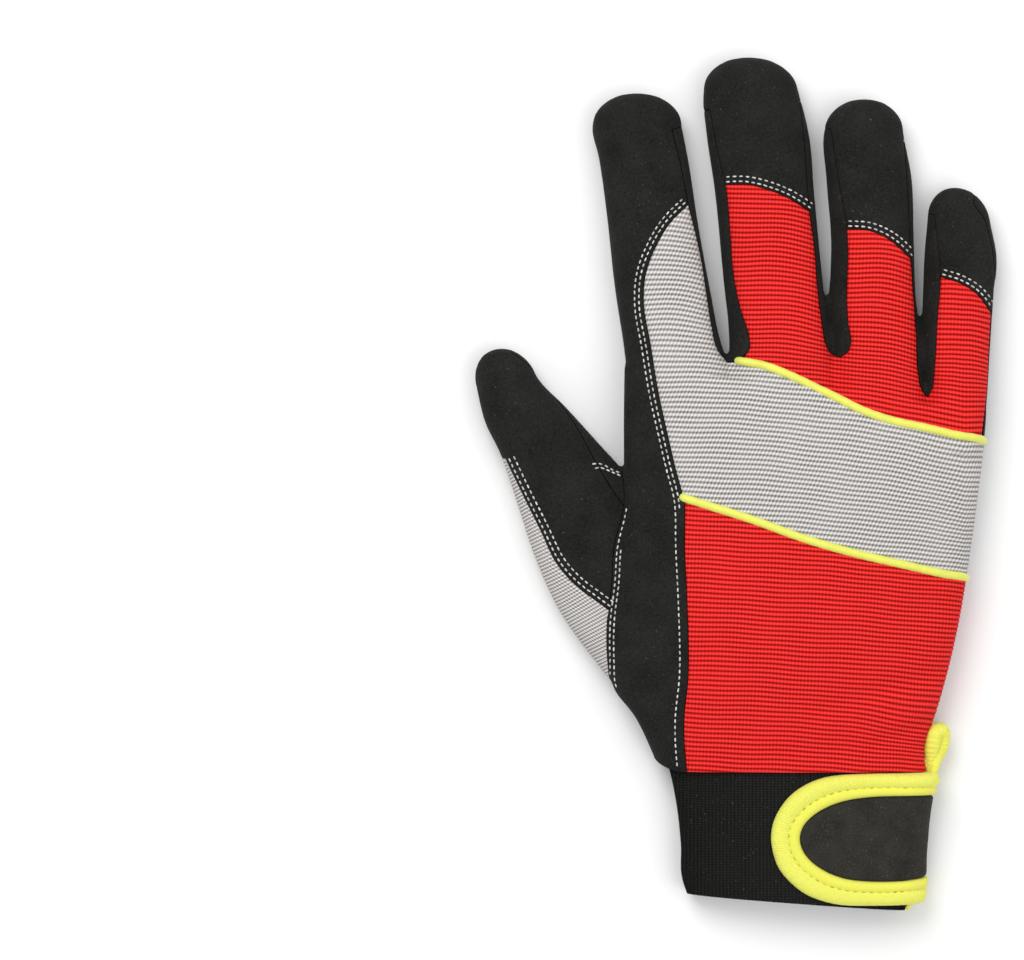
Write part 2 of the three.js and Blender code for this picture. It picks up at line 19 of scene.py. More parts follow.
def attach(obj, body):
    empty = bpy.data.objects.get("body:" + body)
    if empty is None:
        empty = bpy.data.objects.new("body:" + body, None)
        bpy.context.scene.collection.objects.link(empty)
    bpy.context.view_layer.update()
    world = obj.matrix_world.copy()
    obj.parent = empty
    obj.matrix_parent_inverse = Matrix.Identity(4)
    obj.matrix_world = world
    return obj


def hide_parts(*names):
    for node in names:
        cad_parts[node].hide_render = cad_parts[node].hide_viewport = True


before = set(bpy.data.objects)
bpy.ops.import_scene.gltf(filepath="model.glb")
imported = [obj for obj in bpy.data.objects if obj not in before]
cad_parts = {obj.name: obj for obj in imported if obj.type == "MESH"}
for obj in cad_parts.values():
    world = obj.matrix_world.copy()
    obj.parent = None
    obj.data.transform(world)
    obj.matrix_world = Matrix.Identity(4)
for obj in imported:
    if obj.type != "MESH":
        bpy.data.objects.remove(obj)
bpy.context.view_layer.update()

bl_info = {
    "name": "Work glove",
    "version": (1, 0, 0),
    "blender": (4, 5, 0),
    "location": "3D View > Sidebar > Glove",
    "description": "Dresses a right-hand work glove around its CAD frame",
    "category": "Object",
}

MM = 0.001

# Section rows from the tip to the wrist: left point, right point, crown height, underside height
INDEX = (
    (-34, 119.6, -26, 119.6, 8, 3),
    (-39.8, 117, -20.8, 117, 12, 1),
    (-44.2, 110, -16.8, 109, 14.6, 0),
    (-42.3, 100, -14.9, 99, 15.6, 0),
    (-39.8, 82, -12, 80, 16, 0),
    (-37.4, 60, -8.2, 59, 17, 0),
    (-34.7, 42, -4.7, 42, 18.5, 0.8),
    (-32.5, 20, 5, 20, 20.5, 2.2),
)
MIDDLE = (
    (-1, 130.6, 8, 130.6, 8, 3),
    (-6.6, 127.8, 13.6, 127.8, 12, 1),
    (-10.2, 120, 18.8, 120, 15, 0),
    (-9.4, 108, 22, 107, 16, 0),
    (-6.8, 90, 23.6, 89, 16, 0),
    (-4.1, 62, 26.2, 62, 17, 0),
    (-2.6, 47, 27.8, 47, 18.5, 0.8),
    (-2.6, 37, 29.4, 37, 19.5, 1.4),
    (-9, 18, 36, 18, 21, 2.4),
)
RING = (
    (35.6, 117.8, 43.4, 117.8, 8, 3),
    (30.6, 115, 47.2, 114.8, 12, 1),
    (26.8, 108, 51, 107, 14.6, 0),
    (27.4, 94, 53.4, 94, 15.6, 0),
    (28.9, 74, 54.1, 74, 16, 0),
    (28.4, 56, 54.7, 56, 17, 0),
    (28.9, 42, 56, 42, 18.5, 0.8),
    (28.2, 34, 56.8, 30, 19.5, 1.4),
    (23, 14, 62, 10, 21, 2.4),
)
LITTLE = (
    (64, 90.8, 71, 90.6, 8, 3),
    (60.6, 87.6, 74.4, 87, 11, 1),
    (58.5, 80.5, 77.8, 79, 13.4, 0),
    (57.6, 71, 79.5, 70, 14.4, 0),
    (57, 56, 78.4, 56, 15.6, 0),
    (56.4, 42, 77.2, 40, 17, 0.6),
    (57.4, 30, 76.2, 26, 18.5, 1.4),
    (53, 12, 74, 8, 20.5, 2.4),
)
HAND = (
    (-34.6, 36, 76.1, 22, 20.6, 1.6),
    (-34.8, 20, 75.2, 12, 22.4, 1.6),
    (-35, 0, 73.3, -3, 23.8, 1.6),
    (-38, -24, 70.1, -26, 24, 1.6),
    (-39.6, -48, 66.2, -48, 23, 1.6),
    (-37.6, -63, 62.8, -62, 21.6, 1.6),
    (-31.5, -71, 60.2, -71, 20.4, 1.6),
    (-27, -80, 57, -80.5, 19.2, 1.6),
    (-22.6, -88, 58.4, -87, 18.4, 0.8),
)
THUMB = (
    (-77, 40.2, -71, 42.2, 7, 3),
    (-79.2, 35.4, -66.6, 38.6, 10.6, 1),
    (-79.5, 28.5, -61.2, 32.6, 13, 0),
    (-77.2, 19, -52.6, 23.6, 14.6, 0),
    (-72.4, 9, -42.6, 12.6, 15.2, 0),
    (-66.6, -8, -33.4, 2, 15.6, 0),
    (-62.4, -21, -25, -12, 16, 0.8),
    (-54, -39.5, -20, -29, 16.4, 1.4),
    (-44.4, -53, -17, -44, 16.4, 1.8),
    (-34, -66, -14, -58, 15.4, 2.4),
)
CUFF = (
    (-20.6, -88.6, 56.6, -87.6, 17, 0),
    (-18.4, -98, 55.2, -98, 16.4, 0),
    (-17, -110.5, 54.4, -112, 16, 0),
    (-16.5, -121.4, 53.6, -126, 15.6, 0),
    (-15.2, -125.4, 52, -130.4, 15, 0.3),
)
# Roundness of a section: across and up are powers of the unit circle, flat presses the underside level, and
# waist is the height of the widest line as a share of the whole
FINGER_FORM = SimpleNamespace(across=0.88, up=0.84, flat=1.35, waist=0.42)
HAND_FORM = SimpleNamespace(across=0.76, up=0.74, flat=1.8, waist=0.42)

# Seams seen from above
INDEX_SIDE_SEAM = (
    (-15, 85), (-21, 79), (-25, 72.5), (-28.5, 63), (-29, 55), (-27, 42.5), (-24.5, 27), (-22, 15.5),
    (-19.5, 4.5), (-17.3, -4), (-16.8, -19), (-15.9, -38.5), (-15.6, -58.5), (-16.8, -72), (-16, -86),
    (-14.5, -95),
)
INDEX_STRIP_SEAM = ((-15, 85), (-13, 77.5), (-11, 68.5), (-9.5, 58.5), (-8, 48.5), (-6, 40.5), (-3, 37))
MIDDLE_LEFT_SEAM = (
    (-8.5, 114), (-6.5, 102), (-4, 91), (-2.5, 75.5), (-1.5, 63), (0.5, 53), (3, 44.5), (3.2, 41), (0, 37.5),
)
MIDDLE_RIGHT_SEAM = (
    (19, 117), (20.5, 102), (22, 83), (23.5, 72.5), (24.5, 58.5), (25.8, 48), (26.6, 43.2), (28.4, 39.8),
    (30.8, 38.4),
)
RING_LEFT_SEAM = ((28.4, 108), (30.5, 92.5), (33, 77.5), (33.2, 48.3), (34, 43.5), (33.2, 40.3), (30.8, 38.4))
RING_RIGHT_SEAM = ((51, 105), (52, 86.5), (53, 68.5), (54.5, 45.5), (54.8, 34.5), (55.9, 29), (57.6, 26.4))
LITTLE_LEFT_SEAM = ((60, 82), (61.5, 63), (60.4, 49), (59.4, 34), (58.8, 28.6), (57.6, 26.4))
LITTLE_RIGHT_SEAM = ((77.5, 52), (77, 44), (76, 27.5), (74.5, 13.5))
MIDDLE_CAP_SEAM = ((-4, 91), (2, 91), (8.5, 89.5), (15, 87), (22, 83))
RING_CAP_SEAM = ((33, 77.5), (39.5, 77), (45.5, 74.5), (53, 68.5))
LITTLE_CAP_SEAM = ((61.5, 63), (67.5, 61), (73, 57.5), (77.5, 52))
UPPER_PIPING = ((0.8, 37.2), (7, 36), (16, 32.5), (28.5, 26.5), (37.5, 22), (46.5, 19), (56, 17), (66, 14.6))
LOWER_PIPING = ((-16.6, -4.4), (-8.5, -7), (4, -11), (19, -16.5), (34.5, -21), (49.5, -24.5), (62, -27.4))
THUMB_ROOT_BACK = (
    (-36, 14), (-35.4, 5), (-34.9, -7), (-37.9, -19.5), (-38.6, -30), (-40, -41.5), (-40, -54), (-39, -63),
    (-33, -69),
)
# The end of the thumb's root seam, over the side
HEEL_TURN = ((-39.6, -57.5), (-39.3, -60), (-39.6, -61.8), (-41, -63), (-96, -63.4))
THUMB_NOTCH = ((-36, 14), (-30, 6), (-22, 12))
THUMB_ARC = (
    (-22, 12), (-11, 3), (-2, -8.5), (4, -21), (7.5, -32.5), (8, -44), (5, -55), (-0.5, -64.5), (-7.5, -72),
    (-14, -75.5), (-28, -76.5),
)
THUMB_RIDGE = ((-69, 40), (-66, 38), (-58, 29), (-49.5, 18), (-42, 4), (-34.9, -7))
THUMB_GREY_BACK = (
    (-71, 7.5), (-66.5, -2), (-60.5, -14), (-55, -25), (-49.5, -31), (-43.5, -35.5), (-39.4, -38.5),
)
THUMB_GREY_FRONT = ((-72, 4), (-63.5, -6), (-52, -18.6), (-37.4, -36), (-26.5, -51), (-13.4, -75))
THUMB_FACET_ROWS = (        # two short stitch rows across the thumb's steep side
    ((-44.8, 5.9), (-43.1, 6.2), (-40.8, 5.7), (-38.6, 4.2), (-35.8, 3.2)),
    ((-43.9, 4.6), (-41.4, 4.9), (-40.1, 4.2), (-37.5, 3.1), (-35.6, 2.2)),
)
KNUCKLE_PAD = (
    (-9, 15.5), (-5, 19.5), (1, 20.6), (9, 21), (18.5, 20.3), (30, 17.4), (41, 13.4), (50, 8), (55.5, 1.5),
    (58, -4), (53, -3.6), (36, 0.5), (21, 2.3), (3, 2.6),
)
HEEL_PAD = (
    (12.5, -12), (13.5, -8.4), (17, -6.6), (28.5, -8), (40.5, -11), (49.5, -15.5), (56.5, -20.5), (60, -30),
    (60.5, -42), (58.5, -56), (55.5, -68), (52, -73), (42.5, -75), (28.5, -73.6), (20.5, -70.5), (18, -65),
    (18.5, -44), (15, -25),
)
HEEL_PAD_FAN = (((19.5, -41), (61, -27.4)), ((19.5, -41), (57.5, -69)))    # the pad's two inner seams
STRAP_EDGE = (
    (63, -94.6), (49, -94.7), (39.6, -95.3), (32.6, -96.3), (27, -98.2), (22.8, -100.7), (19.7, -104),
    (18.6, -107.7), (19.3, -111), (21.8, -114.5), (25.6, -117.3), (31.2, -119.7), (39.6, -120.9),
    (46.6, -120.9), (63, -119.6),
)
BINDING_EDGE = (
    (63, -87.9), (49, -88), (37.3, -88.1), (30.3, -88.5), (25.6, -89.3), (20.9, -91.1), (16.2, -94.2),
    (13, -97.9), (10.6, -102.6), (9.8, -107.3), (10.4, -112), (12, -116.6), (15.8, -121.3), (20.4, -124.8),
    (25.6, -126.9), (31.2, -128.1), (37.3, -128.4), (44.3, -128.3), (51.3, -127.9), (63, -127.4),
)
STRAP_STAND_OFF = 3.1       # how far the strap stands off the cuff on the little finger side
STITCH_SHARE = 0.41         # where the binding is sewn, from its inner edge to its outer edge
SEAM_HEIGHT = 4.5           # seam between the palm side and the back
EDGE_HEIGHT = 6             # height of the glove's widest edge
THUMB_SEAM_HEIGHT = 8       # seam between the thumb's front and its back
WEB_TOP = 11.5              # how high the finger strips reach under the cloth between the fingers
SLIT_LEFT = 46              # where the slit of the wrist starts, and the levels of its two edges
SLIT_LEVELS = (6.3, 9.7)
SLIT_FROM, SLIT_TO = -140, -74
WRIST_END = -87.7
HEM_CORNER = (              # the suede's hem turns up to the heel here
    (-18.5, WRIST_END), (-21.2, -86.9), (-22.6, -86.3), (-23.9, -85.5), (-25.1, -84.2), (-26.4, -82.2),
    (-30, -78),
)
PIPING_SUNK = 0.1           # how deep the cords lie in their seams
FAR = 60                    # beyond the glove, for cutting and for starting rays
DOWN, UP = (0, 0, -1), (0, 0, 1)        # ways of a ray

# How far the strips between the fingers reach under the back
INDEX_MIDDLE_WEB = np.array([(-11, 44), (-11, 24), (8, 24), (8, 44)], float)
MIDDLE_RING_WEB = np.array([(22, 47), (22, 26), (37, 26), (37, 47)], float)
RING_LITTLE_WEB = np.array([(50, 34), (50, 14), (64, 14), (64, 34)], float)

# Dents pressed into the cloth: from a point to a point, how wide and how deep
DENTS = (
    (-31, -12, -30, -44, 4.5, 0.9),
    (-24, -66, -30, -76, 4.0, 0.8),
    (-47, 6, -36, -8, 3.4, 1.6),
    (-60, 14, -50, 2, 5.0, 0.7),
    (-52, -20, -44, -30, 4.0, 0.6),
    (26, -68, 58, -58, 3.2, 0.8),
    (40, -80, 60, -72, 2.6, 0.9),
    (10, -82, 34, -80, 3.0, 0.4),
    (48, -40, 64, -36, 3.6, 0.6),
    (2, 30, 6, 40, 3.0, 0.8),
    (31, 30, 31, 40, 2.6, 0.9),
    (58, 20, 59, 30, 2.4, 0.8),
    (-38, 96, -34, 88, 3.6, 0.6),
    (-2, 74, 2, 66, 3.0, 0.5),
    (46, 58, 52, 50, 3.0, 0.5),
)

CURVE_CUTS = 4              # parts that a stretch of a smooth curve is cut into
VOXEL = 0.85                # grain of the blended hand, and of the hollow inside it
INNER_VOXEL = 1.5
SMOOTHING = 10              # rounds of smoothing the blended hand, and how far each moves points in and out
SMOOTHING_STEPS = (0.5, -0.51)
RESTING = 0.02              # lowest height of cloth that lies on the floor
DENT_FROM, DENT_FADE = 5, 6     # dents start above this height, and are full so much higher
WALL = 1.3                  # thickness of the cloth
TIP_HEIGHT = 5.5            # height of the fingertips' foremost points
TIP_SECTIONS = (7, 20, 36, 52, 70)      # where a fingertip's dome is cut, in degrees from its foremost point
TIP_FULLNESS = 0.8          # under 1, the dome is thicker than it is wide
GAP = 0.24                  # width of the groove between two sewn pieces
TOUCH = 0.02                # a point so near to the cloth's outer side lies on it
STEEP_DROP = 0.3            # share of the seams' depth that is kept on a steep side
UNDER = 0.05                # how far over the cuff the undersides of the strap and its binding are
SEED = 7


def srgb(red, green, blue):
    """A colour from its usual 0 to 255 values, as Blender's linear numbers."""
    def linear(value):
        share = value / 255
        return share / 12.92 if share <= 0.04045 else ((share + 0.055) / 1.055) ** 2.4
    return linear(red), linear(green), linear(blue)


# Curves and outlines

def curve_through(points, cuts=CURVE_CUTS, place=None):
    """A smooth curve through the points, in equal parts. Point i is the curve's point i * cuts."""
    points = np.asarray(points, float)
    place = points if place is None else place
    gap = np.linalg.norm(np.diff(place, axis=0), axis=1)[:, None]
    slope = np.diff(points, axis=0) / gap
    middle = (gap[:-1] * slope[1:] + gap[1:] * slope[:-1]) / (gap[:-1] + gap[1:])
    tangent = np.vstack([slope[:1], middle, slope[-1:]])
    t = np.linspace(0, 1, cuts, endpoint=False)[None, :, None]
    start, end = points[:-1, None], points[1:, None]
    leave, arrive = (tangent[:-1] * gap)[:, None], (tangent[1:] * gap)[:, None]
    curve = (
        (2 * t**3 - 3 * t**2 + 1) * start + (t**3 - 2 * t**2 + t) * leave
        + (3 * t**2 - 2 * t**3) * end + (t**3 - t**2) * arrive
    )
    return np.vstack([curve.reshape(-1, points.shape[1]), points[-1:]])


def stretch(seam, first=0, last=None):
    """The smooth curve along a seam from one of its points to another, which may lie before it."""
    curve = curve_through(seam)
    first = len(seam) - 1 if first is None else first
    last = len(seam) - 1 if last is None else last
    if first <= last:
        return curve[first * CURVE_CUTS:last * CURVE_CUTS + 1]
    return curve[last * CURVE_CUTS:first * CURVE_CUTS + 1][::-1]


def outline(*parts):
    """A closed outline from its parts, without the points that repeat where two parts meet."""
    points = np.vstack([np.atleast_2d(np.asarray(part, float)) for part in parts])
    fresh = np.linalg.norm(points - np.roll(points, 1, axis=0), axis=1) > 1e-6
    return points[fresh]


def closed_curve(points):
    """A smooth closed outline through the points."""
    ring = np.asarray([*points[-2:], *points, *points[:2]], float)
    return curve_through(ring)[2 * CURVE_CUTS:-2 * CURVE_CUTS - 1 + CURVE_CUTS]


def signed_area(points):
    """The area of an outline, which is negative if it turns clockwise."""
    x, y = points.T
    return 0.5 * np.sum(x * np.roll(y, -1) - np.roll(x, -1) * y)


def grown(points, amount):
    """An outline moved outwards by an amount, or inwards if it is negative."""
    reach = amount if signed_area(points) > 0 else -amount
    before = points - np.roll(points, 1, axis=0)
    after = np.roll(points, -1, axis=0) - points
    before /= np.linalg.norm(before, axis=1)[:, None]
    after /= np.linalg.norm(after, axis=1)[:, None]
    across = np.stack([before[:, 1] + after[:, 1], -before[:, 0] - after[:, 0]], 1)
    across /= np.maximum(1e-9, np.linalg.norm(across, axis=1))[:, None]
    side = np.stack([before[:, 1], -before[:, 0]], 1)
    mitre = reach / np.maximum(0.35, np.sum(across * side, axis=1))
    return points + mitre[:, None] * across


def resampled(path, pitch, closed=False):
    """Points at even steps of about the pitch along a path."""
    path = np.asarray(path, float)
    if closed:
        path = np.vstack([path, path[:1]])
    run = np.concatenate([[0], np.cumsum(np.linalg.norm(np.diff(path, axis=0), axis=1))])
    count = max(2, int(round(run[-1] / pitch)) + 1)
    steps = np.linspace(0, run[-1], count)
    return np.stack([np.interp(steps, run, column) for column in path.T], 1)


def moved_aside(path, distance):
    """A path moved to its left by a distance, or to its right if it is negative."""
    way = np.gradient(path, axis=0)
    way /= np.linalg.norm(way, axis=1)[:, None]
    return path + distance * np.stack([-way[:, 1], way[:, 0]], 1)


# Meshes

def new_mesh(name, points, faces):
    """A mesh from points in millimetres."""
    mesh = bpy.data.meshes.new(name)
    mesh.from_pydata((np.asarray(points, float) * MM).tolist(), [], [list(map(int, face)) for face in faces])
    mesh.update()
    return mesh


def points_of(mesh):
    """A mesh's points in millimetres."""
    points = np.empty(len(mesh.vertices) * 3)
    mesh.vertices.foreach_get("co", points)
    return points.reshape(-1, 3) / MM


def put_points(mesh, points):
    """Moves a mesh's points to places in millimetres."""
    mesh.vertices.foreach_set("co", (points * MM).ravel())
    mesh.update()


def with_modifier(mesh, kind, **settings):
    """The mesh after one modifier."""
    holder = bpy.data.objects.new("holder", mesh)
    bpy.context.scene.collection.objects.link(holder)
    modifier = holder.modifiers.new(kind.lower(), kind)
    for name, value in settings.items():
        setattr(modifier, name, value)
    result = bpy.data.meshes.new_from_object(holder.evaluated_get(bpy.context.evaluated_depsgraph_get()))
    bpy.data.objects.remove(holder)
    return result


def carved(body, tool, operation):
    """The body's mesh cut by, kept inside or joined with the tool's."""
    cutter = bpy.data.objects.new("cutter", tool)
    bpy.context.scene.collection.objects.link(cutter)
    result = with_modifier(body, "BOOLEAN", operation=operation, object=cutter, solver="MANIFOLD")
    bpy.data.objects.remove(cutter)
    if not result.vertices:
        raise RuntimeError(f"nothing is left of {body.name} after {operation}")
    return result


def joined(*meshes):
    """Meshes made one."""
    return functools.reduce(lambda whole, mesh: carved(whole, mesh, "UNION"), meshes)


def edge_ends(mesh):
    """The numbers of the points at which a mesh's edges start and end."""
    edges = np.empty(len(mesh.edges) * 2, int)
    mesh.edges.foreach_get("vertices", edges)
    return edges.reshape(-1, 2).T


def main_part(mesh):
    """The mesh without the crumbs that a cut leaves: its connected part with the most points."""
    starts, ends = edge_ends(mesh)
    label = np.arange(len(mesh.vertices))
    while True:         # each point takes the lowest label of its neighbours until nothing changes
        low = np.minimum(label[starts], label[ends])
        before = label.copy()
        np.minimum.at(label, starts, low)
        np.minimum.at(label, ends, low)
        label = label[label]
        if np.array_equal(before, label):
            break
    names, sizes = np.unique(label, return_counts=True)
    if len(names) == 1:
        return mesh
    keep = label == names[np.argmax(sizes)]
    index = np.cumsum(keep) - 1
    faces = [[index[v] for v in polygon.vertices] for polygon in mesh.polygons if keep[polygon.vertices[0]]]
    return new_mesh(mesh.name, points_of(mesh)[keep], faces)


def tube_faces(rings, sides):
    """Faces of a closed tube of rings, which face outwards if a ring turns clockwise seen from its start."""
    faces = []
    for i in range(rings - 1):
        for j in range(sides):
            k = (j + 1) % sides
            faces.append((i * sides + j, (i + 1) * sides + j, (i + 1) * sides + k, i * sides + k))
    faces.append(tuple(range(sides)))
    faces.append(tuple(range(rings * sides - 1, (rings - 1) * sides - 1, -1)))
    return faces


def loft(rows, form, sides=48, shrink=0.0, cuts=5):
    """Points and faces of a closed tube through section rows."""
    rows = np.asarray(rows, float)
    rows = curve_through(rows, cuts, (rows[:, 0:2] + rows[:, 2:4]) / 2)
    angle = np.linspace(0, 2 * math.pi, sides, endpoint=False)
    s, c = np.sin(angle), np.cos(angle)
    lx, ly, rx, ry, top, bottom = rows.T[:, :, None]
    span = np.hypot(rx - lx, ry - ly)
    keep = np.maximum(0.5, span - 2 * shrink) / span
    share = 0.5 + 0.5 * keep * np.sign(s) * np.abs(s) ** form.across
    bottom = bottom + shrink
    top = np.maximum(bottom + 1, top - shrink)
    waist = bottom + form.waist * (top - bottom)
    height = np.abs(c) ** form.up
    rise = np.where(c > 0, (top - waist) * height, (bottom - waist) * np.minimum(1, form.flat * height))
    points = np.stack([lx + (rx - lx) * share, ly + (ry - ly) * share, waist + rise], -1)
    return points.reshape(-1, 3), tube_faces(len(rows), sides)


def slid_ends(rows, tip, mouth):
    """The rows with the first and last section moved along Y."""
    rows = np.array(rows, float)
    rows[0, [1, 3]] += tip
    rows[-1, [1, 3]] += mouth
    return rows


def swept(name, path, normals, section):
    """A tube along a path. The section holds a ring of (across, up) offsets for each point of the path."""
    path, normals = np.asarray(path, float), np.asarray(normals, float)
    way = np.gradient(path, axis=0)
    way /= np.linalg.norm(way, axis=1)[:, None]
    normals = normals - np.sum(normals * way, axis=1)[:, None] * way
    normals /= np.linalg.norm(normals, axis=1)[:, None]
    across = np.cross(way, normals)
    points = path[:, None] + section[:, :, 0, None] * across[:, None]
    points = points + section[:, :, 1, None] * normals[:, None]
    return new_mesh(name, points.reshape(-1, 3), tube_faces(len(path), section.shape[1]))


def grid_edge(index):
    """The numbers of a grid's points round its edge, from the numbers of them all."""
    return np.concatenate([index[0, :-1], index[:-1, -1], index[-1, :0:-1], index[:0:-1, 0]])


def sheet(name, top, under, rows, columns):
    """A closed mesh between two grids of points."""
    index = np.arange(rows * columns).reshape(rows, columns)
    face = np.stack([index[:-1, :-1], index[1:, :-1], index[1:, 1:], index[:-1, 1:]], -1).reshape(-1, 4)
    total = rows * columns
    ring = grid_edge(index)
    after = np.roll(ring, -1)
    wall = np.stack([ring, after, after + total, ring + total], -1)
    return new_mesh(name, np.vstack([top, under]), np.vstack([face, face[:, ::-1] + total, wall]))


def prism(points, low, high, grow=0.0):
    """A block with an outline seen from above. Its top is level, or a slope: a function of its points."""
    points = grown(points, grow)
    if signed_area(points) < 0:
        points = points[::-1]
    count = len(points)
    low_ring = np.column_stack([points, np.full(count, low - grow)])
    top = high(points) if callable(high) else np.full(count, high)
    high_ring = np.column_stack([points, top + grow])
    sides = [(i, (i + 1) % count, count + (i + 1) % count, count + i) for i in range(count)]
    ends = [tuple(range(count - 1, -1, -1)), tuple(range(count, 2 * count))]
    return new_mesh("block", np.vstack([low_ring, high_ring]), sides + ends)


def relaxed(mesh, times):
    """The mesh's points after rounds in which each moves towards its neighbours' middle and back out."""
    points = points_of(mesh)
    a, b = edge_ends(mesh)
    size = len(points)
    count = np.bincount(np.concatenate([a, b]), minlength=size)[:, None]
    for _ in range(times):
        for share in SMOOTHING_STEPS:
            total = np.zeros_like(points)
            for axis in range(3):
                total[:, axis] = np.bincount(a, points[b, axis], size) + np.bincount(b, points[a, axis], size)
            points = points + share * (total / count - points)
    return points


def distances_to(points):
    """A tree that finds the nearest of some points, given in a plane or in space."""
    tree = KDTree(len(points))
    for i, point in enumerate(np.asarray(points).tolist()):
        tree.insert((*point, 0)[:3], i)
    tree.balance()
    return tree


def bvh_of(mesh):
    """A tree in millimetres for rays and nearest points."""
    return BVHTree.FromPolygons(points_of(mesh).tolist(), [tuple(p.vertices) for p in mesh.polygons])


def ray_hit(tree, start, way):
    """The point of a surface that a ray meets, and its normal."""
    point, normal, _, _ = tree.ray_cast(Vector(start), Vector(way))
    return point, normal


# The hand form that every hand piece is cut from

def dented(points):
    """Points of the hand form with the dents pressed in from above."""
    points = points.copy()
    for x0, y0, x1, y1, width, depth in DENTS:
        way = np.array([x1 - x0, y1 - y0])
        along = np.clip(((points[:, 0] - x0) * way[0] + (points[:, 1] - y0) * way[1]) / (way @ way), 0, 1)
        away = np.hypot(points[:, 0] - x0 - along * way[0], points[:, 1] - y0 - along * way[1])
        high = np.clip((points[:, 2] - DENT_FROM) / DENT_FADE, 0, 1)
        points[:, 2] -= depth * high * np.exp(-(away / width) ** 2)
    return points


def domed(rows):
    """The rows with the tip's two first sections replaced by a dome."""
    rows = np.array(rows, float)
    tip, full = rows[0], rows[2]
    tip_middle, full_middle = (tip[0:2] + tip[2:4]) / 2, (full[0:2] + full[2:4]) / 2
    half = (full[2:4] - full[0:2]) / 2
    sections = []
    for angle in np.radians(TIP_SECTIONS):
        at = tip_middle + (full_middle - tip_middle) * (1 - math.cos(angle))
        size, thick = math.sin(angle), math.sin(angle) ** TIP_FULLNESS
        sections.append((
            *(at - half * size), *(at + half * size), TIP_HEIGHT + (full[4] - TIP_HEIGHT) * thick,
            TIP_HEIGHT + (full[5] - TIP_HEIGHT) * thick,
        ))
    return np.vstack([sections, rows[2:]])


@functools.cache
def hand_form():
    """The hand with its fingers and thumb blended in, as one closed form: its mesh and its tree."""
    tubes = [(slid_ends(HAND, 0, -3), HAND_FORM)]
    tubes += [(domed(rows), FINGER_FORM) for rows in (INDEX, MIDDLE, RING, LITTLE, THUMB)]
    points, faces, count = [], [], 0
    for rows, form in tubes:
        tube_points, tube = loft(rows, form)
        points.append(tube_points)
        faces += [tuple(count + v for v in face) for face in tube]
        count += len(tube_points)
    rough = new_mesh("rough_hand", np.vstack(points), faces)
    mesh = with_modifier(rough, "REMESH", mode="VOXEL", voxel_size=VOXEL * MM, use_smooth_shade=True)
    smooth = relaxed(mesh, SMOOTHING)
    smooth[:, 2] = np.maximum(smooth[:, 2], RESTING)
    put_points(mesh, dented(smooth))
    return SimpleNamespace(mesh=mesh, tree=bvh_of(mesh))


def hand_hollow():
    """The inside of the hand: its form moved in by the wall."""
    mesh = hand_form().mesh.copy()
    normals = np.empty(len(mesh.vertices) * 3)
    mesh.vertex_normals.foreach_get("vector", normals)
    put_points(mesh, points_of(mesh) - WALL * normals.reshape(-1, 3))
    return with_modifier(mesh, "REMESH", mode="VOXEL", voxel_size=INNER_VOXEL * MM)


def lifted(x, y, below=False):
    """The point of the hand's surface over or under a place, and its normal."""
    tree = hand_form().tree
    point, normal = ray_hit(tree, (x, y, -FAR), UP) if below else ray_hit(tree, (x, y, FAR), DOWN)
    if point is None:       # the path runs past the edge, so the edge itself is taken
        point, normal, _, _ = tree.find_nearest(Vector((x, y, EDGE_HEIGHT)))
    return point, normal


def heel_seam_height(points):
    """Height of the grey panel's seam, which falls from the thumb to the wrist."""
    fall, start = 0.14, -36
    return THUMB_SEAM_HEIGHT + fall * (points[:, 1] - start)


